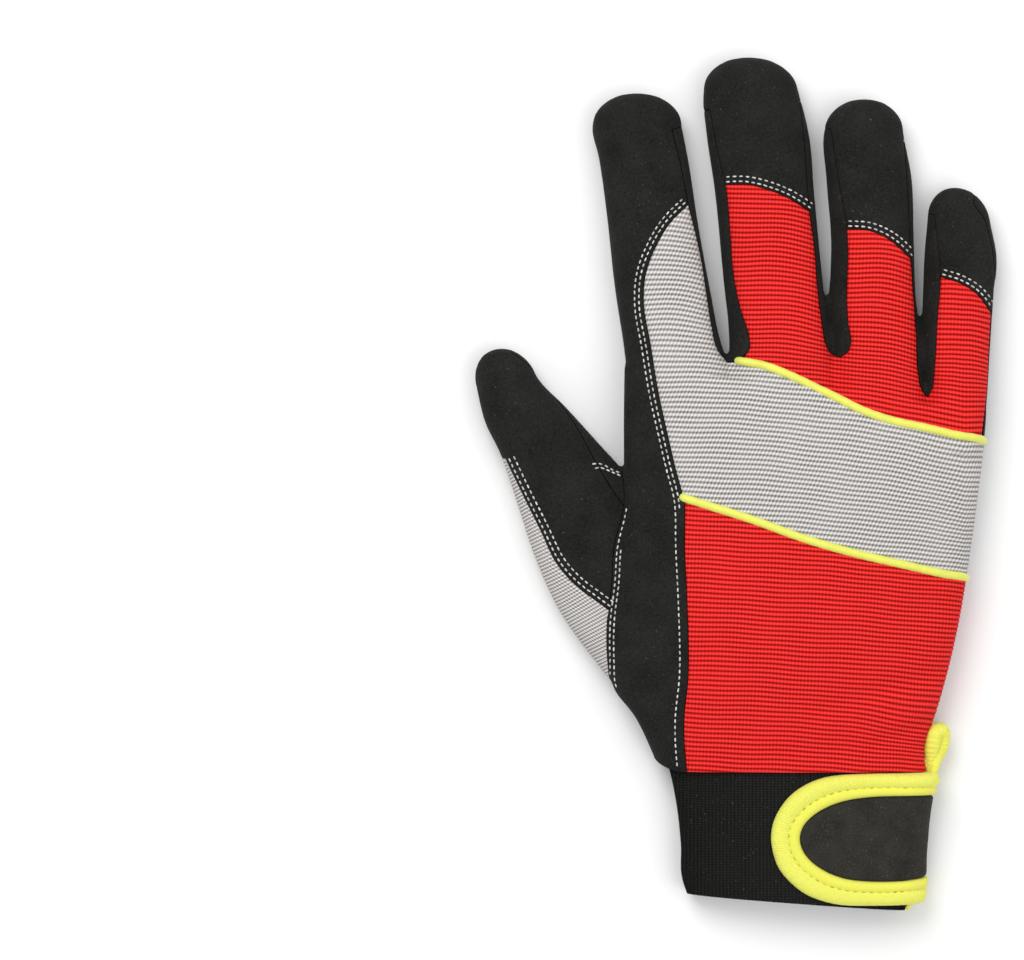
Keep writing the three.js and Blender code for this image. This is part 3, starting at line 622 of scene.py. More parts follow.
@functools.cache
def panel_table():
    """Cutting blocks of each hand piece in the order of cutting: outline, lowest and highest height."""
    above, below = (SEAM_HEIGHT, FAR), (-FAR, SEAM_HEIGHT)
    web = (SEAM_HEIGHT, WEB_TOP)
    index_middle = outline(
        (-20, 108), (-17.5, 98), stretch(INDEX_STRIP_SEAM), stretch(MIDDLE_LEFT_SEAM, 8, 0), (-12, 114),
        (-14.4, 110),
    )
    middle_ring = outline(
        stretch(MIDDLE_RIGHT_SEAM), stretch(RING_LEFT_SEAM, None, 0), (25, 110), (24.6, 117),
    )
    ring_little = outline(stretch(RING_RIGHT_SEAM), stretch(LITTLE_LEFT_SEAM, None, 0), (56.2, 84), (56, 105))
    middle_cap = outline(
        stretch(MIDDLE_CAP_SEAM), stretch(MIDDLE_RIGHT_SEAM, 2, 0), (24.6, 119), (24.6, 136), (-15, 136),
        (-15, 116), stretch(MIDDLE_LEFT_SEAM, 0, 2),
    )
    ring_cap = outline(
        stretch(RING_CAP_SEAM), stretch(RING_RIGHT_SEAM, 2, 0), (56, 107), (56, 124), (25, 124), (25, 110),
        stretch(RING_LEFT_SEAM, 0, 2),
    )
    little_cap = outline(
        stretch(LITTLE_CAP_SEAM), (79, 62), (77.8, 72), (75.8, 80), (72, 85.5), (74, 96), (56.2, 96),
        (56.2, 84), stretch(LITTLE_LEFT_SEAM, 0, 1),
    )
    middle_front = outline(
        (-3, 33), (8, 31), (20, 32), (29, 34.5), (28.3, 48), (27, 62), (25.6, 90), (24.6, 110), (24.6, 136),
        (-15, 136), (-13, 108), (-9, 80), (-6.4, 60), (-4, 44),
    )
    ring_front = outline(
        (29, 34.5), (44, 31), (56.6, 26), (56.2, 45), (56, 60), (56.2, 84), (56, 124), (24.6, 124),
        (24.6, 110), (25.6, 90), (27, 62), (28.3, 48),
    )
    grey_low = outline(stretch(THUMB_GREY_FRONT, 0, 3), (-37.4, -38.5), (-96, -38.5), (-96, 4))
    grey_heel = outline(stretch(THUMB_GREY_FRONT, 3), (-20, -84), (-96, -84), (-96, -36))
    grey_high = outline(stretch(THUMB_GREY_BACK), stretch(THUMB_ROOT_BACK, 5, 6), HEEL_TURN, (-96, 7.5))
    thumb_top = outline(stretch(THUMB_ROOT_BACK, 0, 6), HEEL_TURN, (-96, 62), (-50, 62))
    thumb_palm = outline(
        THUMB_NOTCH, stretch(THUMB_ARC, 0, 9), stretch(THUMB_GREY_FRONT, 5, 3)[1:], (-96, -36), (-96, 62),
        (-50, 62),
    )
    black_thumb = outline(
        stretch(THUMB_RIDGE), stretch(THUMB_ROOT_BACK, 2, 4), stretch(THUMB_GREY_BACK, 6, 0), (-96, 7.5),
        (-96, 62), (-69, 62),
    )
    grey_back = outline(
        stretch(INDEX_SIDE_SEAM, 0, 9), stretch(LOWER_PIPING), (69, -29), (82, -32), (88, 10), (74, 12.4),
        stretch(UPPER_PIPING)[::-1], (-3, 37), stretch(INDEX_STRIP_SEAM, 6, 0),
    )
    red_upper = outline(
        stretch(UPPER_PIPING), (74, 12.4), stretch(LITTLE_RIGHT_SEAM, 2, 0), stretch(LITTLE_CAP_SEAM)[::-1],
        stretch(LITTLE_LEFT_SEAM, 1), stretch(RING_RIGHT_SEAM, None, 2), stretch(RING_CAP_SEAM)[::-1],
        stretch(RING_LEFT_SEAM, 2), stretch(MIDDLE_RIGHT_SEAM, None, 2), stretch(MIDDLE_CAP_SEAM)[::-1],
        stretch(MIDDLE_LEFT_SEAM, 2, 7),
    )
    red_lower = outline(
        stretch(LOWER_PIPING), (69, -29), (90, -32), (80, -96), stretch(INDEX_SIDE_SEAM, 15, 10),
    )
    return {
        "index_middle_fourchette": [(index_middle, *above), (INDEX_MIDDLE_WEB, *web)],
        "middle_ring_fourchette": [(middle_ring, *above), (MIDDLE_RING_WEB, *web)],
        "ring_little_fourchette": [(ring_little, *above), (RING_LITTLE_WEB, *web)],
        "middle_cap": [(middle_cap, *above)],
        "ring_cap": [(ring_cap, *above)],
        "little_cap": [(little_cap, *above)],
        "middle_front": [(middle_front, *below)],
        "ring_front": [(ring_front, *below)],
        "thumb_back_grey": [
            (grey_low, -FAR, THUMB_SEAM_HEIGHT), (grey_heel, -FAR, heel_seam_height), (grey_high, 0, FAR),
        ],
        "thumb_back_black": [(black_thumb, THUMB_SEAM_HEIGHT, FAR)],
        "thumb_front": [(thumb_palm, -FAR, THUMB_SEAM_HEIGHT), (thumb_top, 0, FAR)],
        "back_grey_panel": [(grey_back, *above)],
        "back_red_upper": [(red_upper, *above)],
        "back_red_lower": [(red_lower, *above)],
    }


def blocks(name, grow):
    """What a hand piece is cut with, grown on all sides."""
    return joined(*(prism(points, low, high, grow) for points, low, high in panel_table()[name]))


def slit_cut(mesh, right=90):
    """The mesh with the slit of the wrist cut out of its little finger side."""
    edge = (SLIT_LEFT, SLIT_FROM), (right, SLIT_FROM), (right, SLIT_TO), (SLIT_LEFT, SLIT_TO)
    return carved(mesh, prism(np.array(edge, float), *SLIT_LEVELS), "DIFFERENCE")


def suede_shells():
    """Meshes of the suede pieces, cut in order from the hand's wall."""
    wrist_side = outline((-90, -100), (90, -100), (90, WRIST_END), HEM_CORNER, (-90, -78))
    wall = carved(hand_form().mesh, hand_hollow(), "DIFFERENCE")
    rest = carved(wall, prism(wrist_side, -FAR, FAR), "DIFFERENCE")
    rest = slit_cut(rest)
    pieces = {}
    for name in panel_table():
        if name not in RIBBED_TABLE:
            pieces[name] = main_part(carved(rest, blocks(name, -GAP / 2), "INTERSECT"))
        rest = carved(rest, blocks(name, GAP / 2), "DIFFERENCE")
    pieces["palm_panel"] = main_part(rest)
    return pieces


def roll_edges(mesh, face_tree, reach, drop):
    """Rounds a cut piece's rims: its outer side sinks towards its seams, as sewn cloth turns into them."""
    points = points_of(mesh)
    hull = hand_form().tree
    outer = np.array([face_tree.find_nearest(Vector(p), TOUCH)[0] is not None for p in points.tolist()])
    rim = np.zeros(len(points), bool)
    for polygon in mesh.polygons:
        corners = list(polygon.vertices)
        on = outer[corners]
        if on.any() and not on.all():
            for corner in corners:
                rim[corner] |= outer[corner]
    rims = distances_to(points[rim])
    for i in np.flatnonzero(outer):
        away = rims.find(points[i])[2]
        if away < reach:
            _, normal, _, _ = hull.find_nearest(Vector(points[i]))
            points[i] -= np.array(normal) * drop * max(STEEP_DROP, abs(normal.z)) * (1 - away / reach) ** 2
    put_points(mesh, points)


def dress(name, mesh, material, node=None, sharp=48):
    """A finished piece, riding on the glove in place of its CAD node. Sharp is the angle of a crisp edge."""
    mesh.name = name
    mesh.materials.clear()
    mesh.materials.append(material)
    mesh.polygons.foreach_set("material_index", np.zeros(len(mesh.polygons), int))
    mesh.polygons.foreach_set("use_smooth", np.ones(len(mesh.polygons), bool))
    mesh.set_sharp_from_angle(angle=math.radians(sharp))
    piece = bpy.data.objects.new(name, mesh)
    bpy.context.scene.collection.objects.link(piece)
    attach(piece, "root")
    if node:
        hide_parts(node)
    return piece


# Ribbed elastic

# The little finger side seen from above, from the wrist up
SIDE_X = np.array([row[2:4] for row in (*LITTLE[3:7], *HAND)], float)[::-1]
TURN_IN = 10                # where the back starts to turn down, in from the little finger side
TURN_HEIGHT = 7             # height of the line that it turns round
TURN_RADIUS = 11            # how far from that line the ribs are measured
# The line that the thumb's ribs are laid round, and how far from it they are measured
THUMB_AXIS = np.array([(-25, -60, 7.5), (-72, 38, 6.5)], float)
THUMB_RADIUS = 14
RIB_STEPS = (0.0, 0.13, 0.3, 0.5, 0.7, 0.87)    # where a rib is cut across, from groove to groove
RIB_CREST = 0.85            # share of a rib's height that stands over the hand's form


def turn_x(y):
    """Where the back starts to turn down at a place along the hand."""
    order = np.argsort(SIDE_X[:, 1])
    return np.interp(y, SIDE_X[order, 1], SIDE_X[order, 0]) - TURN_IN


def side_ray(turn, height, angle, y):
    """Start and way of a ray that comes in round a line at a side, at an angle from straight down."""
    s, c = math.sin(angle), math.cos(angle)
    return (turn + FAR * s, y, height + FAR * c), (-s, 0, -c)


def back_ray(u, y):
    """Start and way of the ray that finds the back at a place: downwards, then fanned round the side."""
    turn = turn_x(y)
    if u <= turn:
        return (u, y, FAR), DOWN
    return side_ray(turn, TURN_HEIGHT, (u - turn) / TURN_RADIUS, y)


def back_place(points):
    """Where points lie on the unrolled back: along the ribs, and across them."""
    x, y, z = points.T
    turn = turn_x(y)
    round_side = turn + np.arctan2(x - turn, z - TURN_HEIGHT) * TURN_RADIUS
    return np.where(x > turn, round_side, x), y


def thumb_frame():
    """The way along the thumb, the way to its side and the way up from it."""
    way = THUMB_AXIS[1] - THUMB_AXIS[0]
    way /= np.linalg.norm(way)
    side = np.cross((0, 0, 1), way)
    side /= np.linalg.norm(side)
    return way, side, np.cross(way, side)


def thumb_ray(u, s):
    """Start and way of the ray onto the thumb from round its axis."""
    way, side, up = thumb_frame()
    angle = u / THUMB_RADIUS
    out = math.cos(angle) * up + math.sin(angle) * side
    centre = THUMB_AXIS[0] + s * way
    return centre + FAR * out, -out


def thumb_place(points):
    """Where points lie on the unrolled thumb: along the ribs, and across them."""
    way, side, up = thumb_frame()
    arm = points - THUMB_AXIS[0]
    s = arm @ way
    across = arm - s[:, None] * way
    return np.arctan2(across @ side, across @ up) % (2 * math.pi) * THUMB_RADIUS, s


def back_sway(u, v):
    """How far the ribs leave straight lines.

    They slope and droop to the little finger side, bow over each finger, pucker at the wrist and wave.
    """
    over = np.minimum(u, 68)
    finger = np.interp(u, (-36, -2, 30.8, 57.6, 80), (0, 1, 2, 3, 4))
    on_fingers = np.clip((v - 30) / 22, 0, 1)
    bow = 0.55 * (1 + np.cos(2 * math.pi * finger)) + 0.045 * over
    droop = 0.0009 * (over + 10) ** 2 * (0.35 + np.exp(-(((v - 15) / 32) ** 2)))
    step = np.clip((u - 30) / 26, 0, 1)
    pucker = 2.4 * step**2 * (3 - 2 * step) * np.exp(-(((v + 69) / 9) ** 2))
    waves = 0.14 * np.sin(u / 6.5 + v / 11) + 0.08 * np.sin(u / 2.9 - v / 5)
    return -0.04 * over - droop - pucker - bow * on_fingers**2 * (3 - 2 * on_fingers) + waves


def thumb_sway(u, v):
    """How far the thumb's ribs leave straight lines: a bow, and small waves."""
    return 0.004 * (u - 22) ** 2 + 0.12 * np.sin(u / 3 + v / 7)


SURFACES = {
    "back": SimpleNamespace(ray=back_ray, place=back_place, sway=back_sway),
    "thumb": SimpleNamespace(ray=thumb_ray, place=thumb_place, sway=thumb_sway),
}
# Ribbed pieces: surface, reach along the ribs, reach across them, spacing of columns, slot, fineness and
# height of the ribs as shares of the sizes in the panel
RIBBED_TABLE = {
    "back_red_lower": ("back", (-19, 85), (-97, 20), 1.15, "red_rib", 1, 0.9),
    "back_red_upper": ("back", (-8, 82), (8, 103), 1.05, "red_rib", 1, 1),
    "back_grey_panel": ("back", (-33, 91), (-38, 93), 1.2, "grey_rib", 1.03, 0.75),
    "thumb_back_grey": ("thumb", (4, 57), (-26, 86), 1.1, "grey_rib", 0.72, 0.5),
}


def rib_phase(surface, points, pitch):
    """Place along the ribs, and the number of ribs across, of points on a ribbed surface."""
    u, y = surface.place(points)
    v = y
    for _ in range(10):         # comes closer to the place before the sway with each round
        v = y - surface.sway(u, v)
    return u, v / pitch


def ribbed_body(name, sizes):
    """A thick sheet of ribs over a surface, larger than the piece cut from it, and its ribbed side's tree."""
    surface_name, (u0, u1), (v0, v1), column, _, fineness, relief = RIBBED_TABLE[name]
    surface = SURFACES[surface_name]
    pitch, height = sizes.rib_pitch / MM * fineness, sizes.rib_height / MM * relief
    ribs = range(int(v0 / pitch), int(v1 / pitch) + 1)
    us = np.arange(u0, u1 + column, column)
    vs = np.array([(k + t) * pitch for k in ribs for t in RIB_STEPS])
    phase = np.array([t for _ in ribs for t in RIB_STEPS])
    rise = height * (RIB_CREST - np.abs(2 * phase - 1) ** 3)
    tree = hand_form().tree
    top = np.empty((len(vs), len(us), 3))
    under = np.empty_like(top)
    for i, v in enumerate(vs):
        ys = v + surface.sway(us, v)
        for j, u in enumerate(us):
            start, way = surface.ray(float(u), float(ys[j]))
            hit = ray_hit(tree, start, way)[0]
            start, way = np.array(start), np.array(way)
            if hit is None:     # past the hand's edge the sheet goes on at the seam's height
                hit = start + way * (FAR - SEAM_HEIGHT)
            hit = np.array(hit)
            top[i, j] = hit - way * rise[i]
            under[i, j] = hit + way * WALL
    count = len(vs) * len(us)
    points = np.vstack([top.reshape(-1, 3), under.reshape(-1, 3)])
    index = np.arange(count).reshape(len(vs), len(us))
    face = np.stack([index[:-1, :-1], index[:-1, 1:], index[1:, 1:], index[1:, :-1]], -1).reshape(-1, 4)
    ring = grid_edge(index)
    if surface_name == "thumb":     # its grid runs the other way round
        face, ring = face[:, ::-1], ring[::-1]
    back = face[:, ::-1] + count
    after = np.roll(ring, -1)
    wall = np.stack([after, ring, ring + count, after + count], -1)
    mesh = new_mesh(name, points, np.vstack([face, back, wall]))
    return mesh, BVHTree.FromPolygons(top.reshape(-1, 3).tolist(), face.tolist())


def put_weave(mesh, columns, ribs):
    """Stores a place in the weave with each point."""
    attribute = mesh.attributes.new("weave", "FLOAT_VECTOR", "POINT")
    values = np.stack([columns, ribs, np.zeros(len(columns))], 1)
    attribute.data.foreach_set("vector", values.astype(np.float32).ravel())


def mark_weave(mesh, surface, pitch, knit_pitch):
    """Stores each point's place in the weave: columns along the ribs, and ribs across."""
    along, across = rib_phase(surface, points_of(mesh), pitch)
    put_weave(mesh, along / knit_pitch, across)


# Materials

class Recipe:
    """Makes the nodes of one material."""

    def __init__(self, name, roughness, **fixed):
        self.material = bpy.data.materials.new(name)
        self.material.use_nodes = True
        self.tree = self.material.node_tree
        self.shader = self.tree.nodes["Principled BSDF"]
        self.shader.inputs["Roughness"].default_value = roughness
        for socket, value in fixed.items():
            self.shader.inputs[socket.replace("_", " ")].default_value = value

    def node(self, kind, sockets=None, output=0, **settings):
        """A node's output. Sockets are given by name or number, as values or as other nodes' outputs."""
        made = self.tree.nodes.new(kind)
        for name, value in settings.items():
            setattr(made, name, value)
        for socket, value in (sockets or {}).items():
            if isinstance(value, bpy.types.NodeSocket):
                self.tree.links.new(value, made.inputs[socket])
            else:
                made.inputs[socket].default_value = value
        return made.outputs[output]

    def math(self, operation, first, second=0.0, third=0.0):
        """The result of a sum on up to three values."""
        return self.node("ShaderNodeMath", {0: first, 1: second, 2: third}, operation=operation)

    def place(self):
        """A point's place in the glove's own frame."""
        return self.node("ShaderNodeTexCoord", output="Object")

    def noise(self, feature, detail, roughness=0.5):
        """Noise with features of about the given size in millimetres. Detail adds finer layers to it."""
        scale = 1 / (feature * MM)
        sockets = {"Vector": self.place(), "Scale": scale, "Detail": detail, "Roughness": roughness}
        return self.node("ShaderNodeTexNoise", sockets)

    def spread(self, value, low, high, to_low=0.0, to_high=1.0):
        """A value that runs between two levels, stretched to run between two others."""
        sockets = {"Value": value, "From Min": low, "From Max": high, "To Min": to_low, "To Max": to_high}
        return self.node("ShaderNodeMapRange", sockets)

    def mix(self, share, first, second):
        """Two colours mixed by a share."""
        made = self.tree.nodes.new("ShaderNodeMix")
        made.data_type = "RGBA"
        for socket, value in ((0, share), (6, first), (7, second)):
            if isinstance(value, bpy.types.NodeSocket):
                self.tree.links.new(value, made.inputs[socket])
            else:
                made.inputs[socket].default_value = (*value, 1) if socket else value
        return made.outputs[2]

    def colour(self, value):
        """Gives the shader its colour."""
        self.tree.links.new(value, self.shader.inputs["Base Color"])

    def bump(self, height, depth, strength, under=None):
        """Relief of the given depth in millimetres, over another relief if one is given."""
        sockets = {"Height": height, "Strength": strength, "Distance": depth * MM}
        if under is not None:
            sockets["Normal"] = under
        return self.node("ShaderNodeBump", sockets)

    def normal(self, value):
        """Gives the shader its relief."""
        self.tree.links.new(value, self.shader.inputs["Normal"])

    def weave(self):
        """The stored place in the weave, as columns and ribs."""
        split = self.tree.nodes.new("ShaderNodeSeparateXYZ")
        self.tree.links.new(
            self.node("ShaderNodeAttribute", output="Vector", attribute_name="weave"), split.inputs[0],
        )
        return split.outputs[0], split.outputs[1]

    def wave(self, value):
        """A smooth wave from 0 to 1 that is 0 at whole numbers."""
        turn = self.math("MULTIPLY", value, 2 * math.pi)
        return self.math("MULTIPLY_ADD", self.math("COSINE", turn), -0.5, 0.5)


def scaled(colour, factor):
    """A colour made darker or brighter, up to full brightness."""
    return tuple(min(1.0, channel * factor) for channel in colour)


@functools.cache
def suede_finish():
    """Matt black synthetic suede: a short nap that is brushed in patches, with a few bright fibres."""
    look = bpy.context.scene.glove_look
    recipe = Recipe("black_suede", 0.95, Sheen_Weight=0.02, Sheen_Roughness=0.5, Specular_IOR_Level=0.12)
    base = tuple(look.suede)
    nap = recipe.noise(0.7, 4.0, roughness=0.75)
    brushed = recipe.noise(9.0, 3.0)
    tone = recipe.spread(recipe.math("MULTIPLY_ADD", brushed, 0.45, nap), 0.52, 0.95)
    colour = recipe.mix(tone, scaled(base, 0.45), scaled(base, 1.6))
    fibres = recipe.spread(recipe.noise(0.8, 1.0), 0.72, 0.78)
    recipe.colour(recipe.mix(recipe.math("MULTIPLY", fibres, 0.5), colour, scaled(base, 7.0)))
    rough = recipe.bump(recipe.noise(0.4, 3.0, roughness=0.7), 0.2, 0.9)
    recipe.normal(recipe.bump(brushed, 1.4, 0.4, rough))
    return recipe.material


def ribbed_finish(name, base, top, groove_shade, slot, slant, grain):
    """Ribbed elastic: rounded ribs, grooves between them, and slots where knit columns cross the grooves,
    with painted shade in the grooves and slots and a painted highlight on the crests.
    """
    recipe = Recipe(name, 0.85, Specular_IOR_Level=0.15)
    along, across = recipe.weave()
    rib = recipe.wave(across)
    columns = recipe.wave(recipe.math("MULTIPLY_ADD", across, slant, along))
    yarn = recipe.noise(0.35, 3.0)
    patches = recipe.noise(11.0, 2.0)
    # painted shade: the colour darkens from the base towards the groove colour in the grooves
    colour = recipe.mix(recipe.spread(rib, 0.04, 0.5), groove_shade, base)
    # painted highlight: the crests, brightest along the knit columns, are painted towards the top colour
    crests = recipe.spread(rib, 0.45, 0.95)
    shine = recipe.math("MULTIPLY", crests, recipe.spread(columns, 0.15, 0.8, 1 - grain, 1.0))
    colour = recipe.mix(recipe.math("MULTIPLY", shine, 0.8), colour, top)
    # painted shade in the slots where knit columns cross the grooves, darker in some patches than in others
    gaps = recipe.spread(columns, 0.5, 0.12)
    dark = recipe.math("MULTIPLY", gaps, recipe.spread(rib, 0.8, 0.25, 0.12, 1.0))
    slot_shade_patches = recipe.spread(patches, 0.3, 0.6, 0.65, 1.0)
    colour = recipe.mix(recipe.math("MULTIPLY", dark, slot_shade_patches), colour, slot)
    recipe.colour(recipe.mix(recipe.spread(yarn, 0.6, 0.35, 0.0, 0.3), colour, scaled(base, 0.75)))
    relief = recipe.math("MULTIPLY_ADD", columns, 0.6, recipe.math("MULTIPLY", yarn, 0.4))
    recipe.normal(recipe.bump(relief, 0.2, 0.8, recipe.bump(rib, 0.2, 0.4)))
    return recipe.material


@functools.cache
def red_finish():
    """Red elastic: painted highlights on the crests, painted shade in the deep red grooves and darker painted
    shade in the slots.
    """
    base = tuple(bpy.context.scene.glove_look.red)
    # the crest colour is a painted highlight; the groove and slot colours are painted shade
    return ribbed_finish("red_rib", base, srgb(250, 66, 62), srgb(164, 7, 5), srgb(132, 3, 3), -0.06, 0.6)


@functools.cache
def grey_finish():
    """Grey elastic: pale crests painted as highlights, painted shade in the grooves, and slots of painted
    shade that slant across the ribs.
    """
    base = tuple(bpy.context.scene.glove_look.grey)
    # painted shade for the grooves; the pale crest colour below is a painted highlight and the slot colour
    # painted shade
    groove_shade = scaled(base, 0.62)
    return ribbed_finish("grey_rib", base, srgb(236, 233, 230), groove_shade, srgb(92, 87, 84), -0.6, 1.0)


@functools.cache
def knit_finish():
    """Black cuff knit: fine upright ribs, painted darker between ribs and loops and lighter on them, with
    small painted glints.
    """
    look = bpy.context.scene.glove_look
    recipe = Recipe("black_knit", 0.92, Specular_IOR_Level=0.12)
    base = tuple(look.knit)
    along, across = recipe.weave()
    rib = recipe.wave(across)
    loops = recipe.wave(along)
    yarn = recipe.noise(0.4, 3.0, roughness=0.7)
    # painted shade between the ribs and loops, and a painted highlight on them
    stitch = recipe.math("MULTIPLY", rib, loops)
    colour = recipe.mix(recipe.spread(stitch, 0.05, 0.8), scaled(base, 0.4), scaled(base, 1.35))
    colour = recipe.mix(recipe.spread(yarn, 0.5, 0.75, 0.0, 0.6), colour, scaled(base, 2.2))
    # painted glints: small specks painted far brighter than the knit
    painted_glints = recipe.spread(recipe.noise(0.7, 1.0), 0.71, 0.77)
    recipe.colour(recipe.mix(recipe.math("MULTIPLY", painted_glints, 0.6), colour, scaled(base, 7.0)))
    relief = recipe.math("MULTIPLY_ADD", loops, 0.4, yarn)
    recipe.normal(recipe.bump(relief, 0.2, 0.7, recipe.bump(rib, 0.15, 0.4)))
    return recipe.material


@functools.cache
def loop_finish():
    """The strap's loop tape: a matted pile, rubbed lighter in places."""
    look = bpy.context.scene.glove_look
    recipe = Recipe("strap_loop", 0.9, Sheen_Weight=0.03, Specular_IOR_Level=0.15)
    base = tuple(look.strap)
    pile = recipe.noise(0.5, 4.0, roughness=0.75)
    rubbed = recipe.noise(7.0, 3.0)
    tone = recipe.math("MULTIPLY_ADD", rubbed, 0.5, pile)
    colour = recipe.mix(recipe.spread(tone, 0.5, 0.95), scaled(base, 0.4), scaled(base, 1.7))
    fibres = recipe.spread(recipe.noise(0.7, 1.0), 0.68, 0.76)
    recipe.colour(recipe.mix(recipe.math("MULTIPLY", fibres, 0.5), colour, scaled(base, 4.5)))
    recipe.normal(recipe.bump(pile, 0.3, 0.9))
    return recipe.material


@functools.cache
def piping_finish():
    """Bright piping: smooth covered cord with a faint weave."""
    look = bpy.context.scene.glove_look
    recipe = Recipe("yellow_piping", 0.5, Sheen_Weight=0.2, Specular_IOR_Level=0.45)
    base = tuple(look.yellow)
    weave = recipe.noise(0.3, 2.0)
    tone = recipe.spread(recipe.math("MULTIPLY_ADD", recipe.noise(4.0, 2.0), 0.6, weave), 0.5, 1.1)
    fair = (base[0] * 0.93, base[1] * 0.97, min(1.0, base[2] * 2.2))
    recipe.colour(recipe.mix(tone, scaled(fair, 0.84), scaled(fair, 1.05)))
    recipe.normal(recipe.bump(weave, 0.08, 0.5))
    return recipe.material


@functools.cache
def binding_finish():
    """Bright binding tape: smooth inside its seam, and finely knitted and a little fuzzy outside it."""
    look = bpy.context.scene.glove_look
    recipe = Recipe("yellow_binding", 0.85, Sheen_Weight=0.1, Sheen_Roughness=0.5, Specular_IOR_Level=0.2)
    base = tuple(look.yellow)
    smooth = (base[0], base[1], min(1.0, base[2] * 2.3))
    pale = (min(1.0, base[0] * 1.14), min(1.0, base[1] * 1.16), min(1.0, base[2] * 3.2))
    along, across = recipe.weave()
    knitted = recipe.spread(across, STITCH_SHARE - 0.02, STITCH_SHARE + 0.06)
    loops = recipe.wave(recipe.math("MULTIPLY_ADD", recipe.noise(2.0, 2.0), 0.5, along))
    yarn = recipe.noise(0.35, 3.0, roughness=0.7)
    outside = recipe.mix(loops, scaled(pale, 0.82), pale)
    colour = recipe.mix(knitted, smooth, outside)
    recipe.colour(recipe.mix(recipe.spread(yarn, 0.6, 0.3, 0.0, 0.4), colour, scaled(base, 0.72)))
    relief = recipe.math("MULTIPLY_ADD", recipe.math("MULTIPLY", loops, knitted), 0.5, yarn)
    recipe.normal(recipe.bump(relief, 0.2, 0.8))
    return recipe.material


@functools.cache
def thread_finish(name, shade):
    """Sewing thread: unevenly twisted, and darker in patches."""
    recipe = Recipe(name, 0.6, Sheen_Weight=0.2, Specular_IOR_Level=0.4)
    twist = recipe.noise(0.25, 1.0)
    # the thread is painted darker in patches about 2 mm across, besides the twist
    darker_patches = recipe.noise(2.2, 1.0)
    plies = recipe.spread(twist, 0.35, 0.65, 0.6)
    tone = recipe.math("MULTIPLY", plies, recipe.spread(darker_patches, 0.35, 0.6, 0.35))
    recipe.colour(recipe.mix(tone, scaled(shade, 0.3), shade))
    recipe.normal(recipe.bump(twist, 0.08, 0.6))
    return recipe.material


# Stitches

# A stitch as rings: share of its length from its middle, and share of its thickness
STITCH_RINGS = ((-0.5, 0.35), (-0.4, 0.8), (0.0, 1.0), (0.4, 0.8), (0.5, 0.35))
STITCH_SIDES = 6
STITCH_RISE, STITCH_HALF = 0.42, 0.5    # its reach upwards and sideways, as shares of the thread's width
STITCH_SHORTEST = 0.3       # a shorter stitch, as a share of the usual one, is left out
STITCH_TURN = 0.05          # how unevenly stitches are turned, long and thick
STITCH_LENGTHS = (0.92, 1.06)
STITCH_WIDTHS = (0.9, 1.08)


def stitch_points(centre, way, normal, length, width):
    """A small cushion of thread lying along the way."""
    side = np.cross(normal, way)
    angle = np.linspace(0, 2 * math.pi, STITCH_SIDES, endpoint=False)
    points = []
    for at, size in STITCH_RINGS:
        rise = np.outer(np.cos(angle), normal) * width * STITCH_RISE * size
        reach = np.outer(np.sin(angle), side) * width * STITCH_HALF * size
        points.append(centre + at * length * way + (rise + reach))
    return np.vstack(points)


def stitch_mesh(name, rows, sizes, height=0.12):
    """Stitches along rows, at a height over them. A row is a list of surface points and a list of normals."""
    length, width = sizes.stitch_length / MM, sizes.thread_width / MM
    rng = np.random.default_rng(SEED)
    points, faces, count = [], [], 0
    pattern = tube_faces(len(STITCH_RINGS), STITCH_SIDES)
    for places, normals in rows:
        for i in range(len(places) - 1):
            way = places[i + 1] - places[i]
            step = np.linalg.norm(way)
            if step < STITCH_SHORTEST * length:
                continue
            way = way / step
            normal = normals[i] - (normals[i] @ way) * way
            normal /= np.linalg.norm(normal)
            turn = rng.normal(0, STITCH_TURN)
            way = way * math.cos(turn) + np.cross(normal, way) * math.sin(turn)
            centre = (places[i] + places[i + 1]) / 2 + normal * height
            long = length * rng.uniform(*STITCH_LENGTHS)
            points.append(stitch_points(centre, way, normal, long, width * rng.uniform(*STITCH_WIDTHS)))
            faces += [tuple(count + v for v in face) for face in pattern]
            count += len(points[-1])
    return new_mesh(name, np.vstack(points), faces)


def surface_row(path, sizes, below=False):
    """Points and normals of a stitch row on the surface over or under a path."""
    places = [lifted(x, y, below) for x, y in resampled(path, sizes.stitch_pitch / MM)]
    return np.array([p for p, _ in places]), np.array([n for _, n in places])


def rows_beside(seam, distances, sizes, below=False):
    """Stitch rows beside a seam at distances to its left, or to its right if negative."""
    seam = resampled(seam, 1.0)
    return [surface_row(moved_aside(seam, distance), sizes, below) for distance in distances]


# Properties

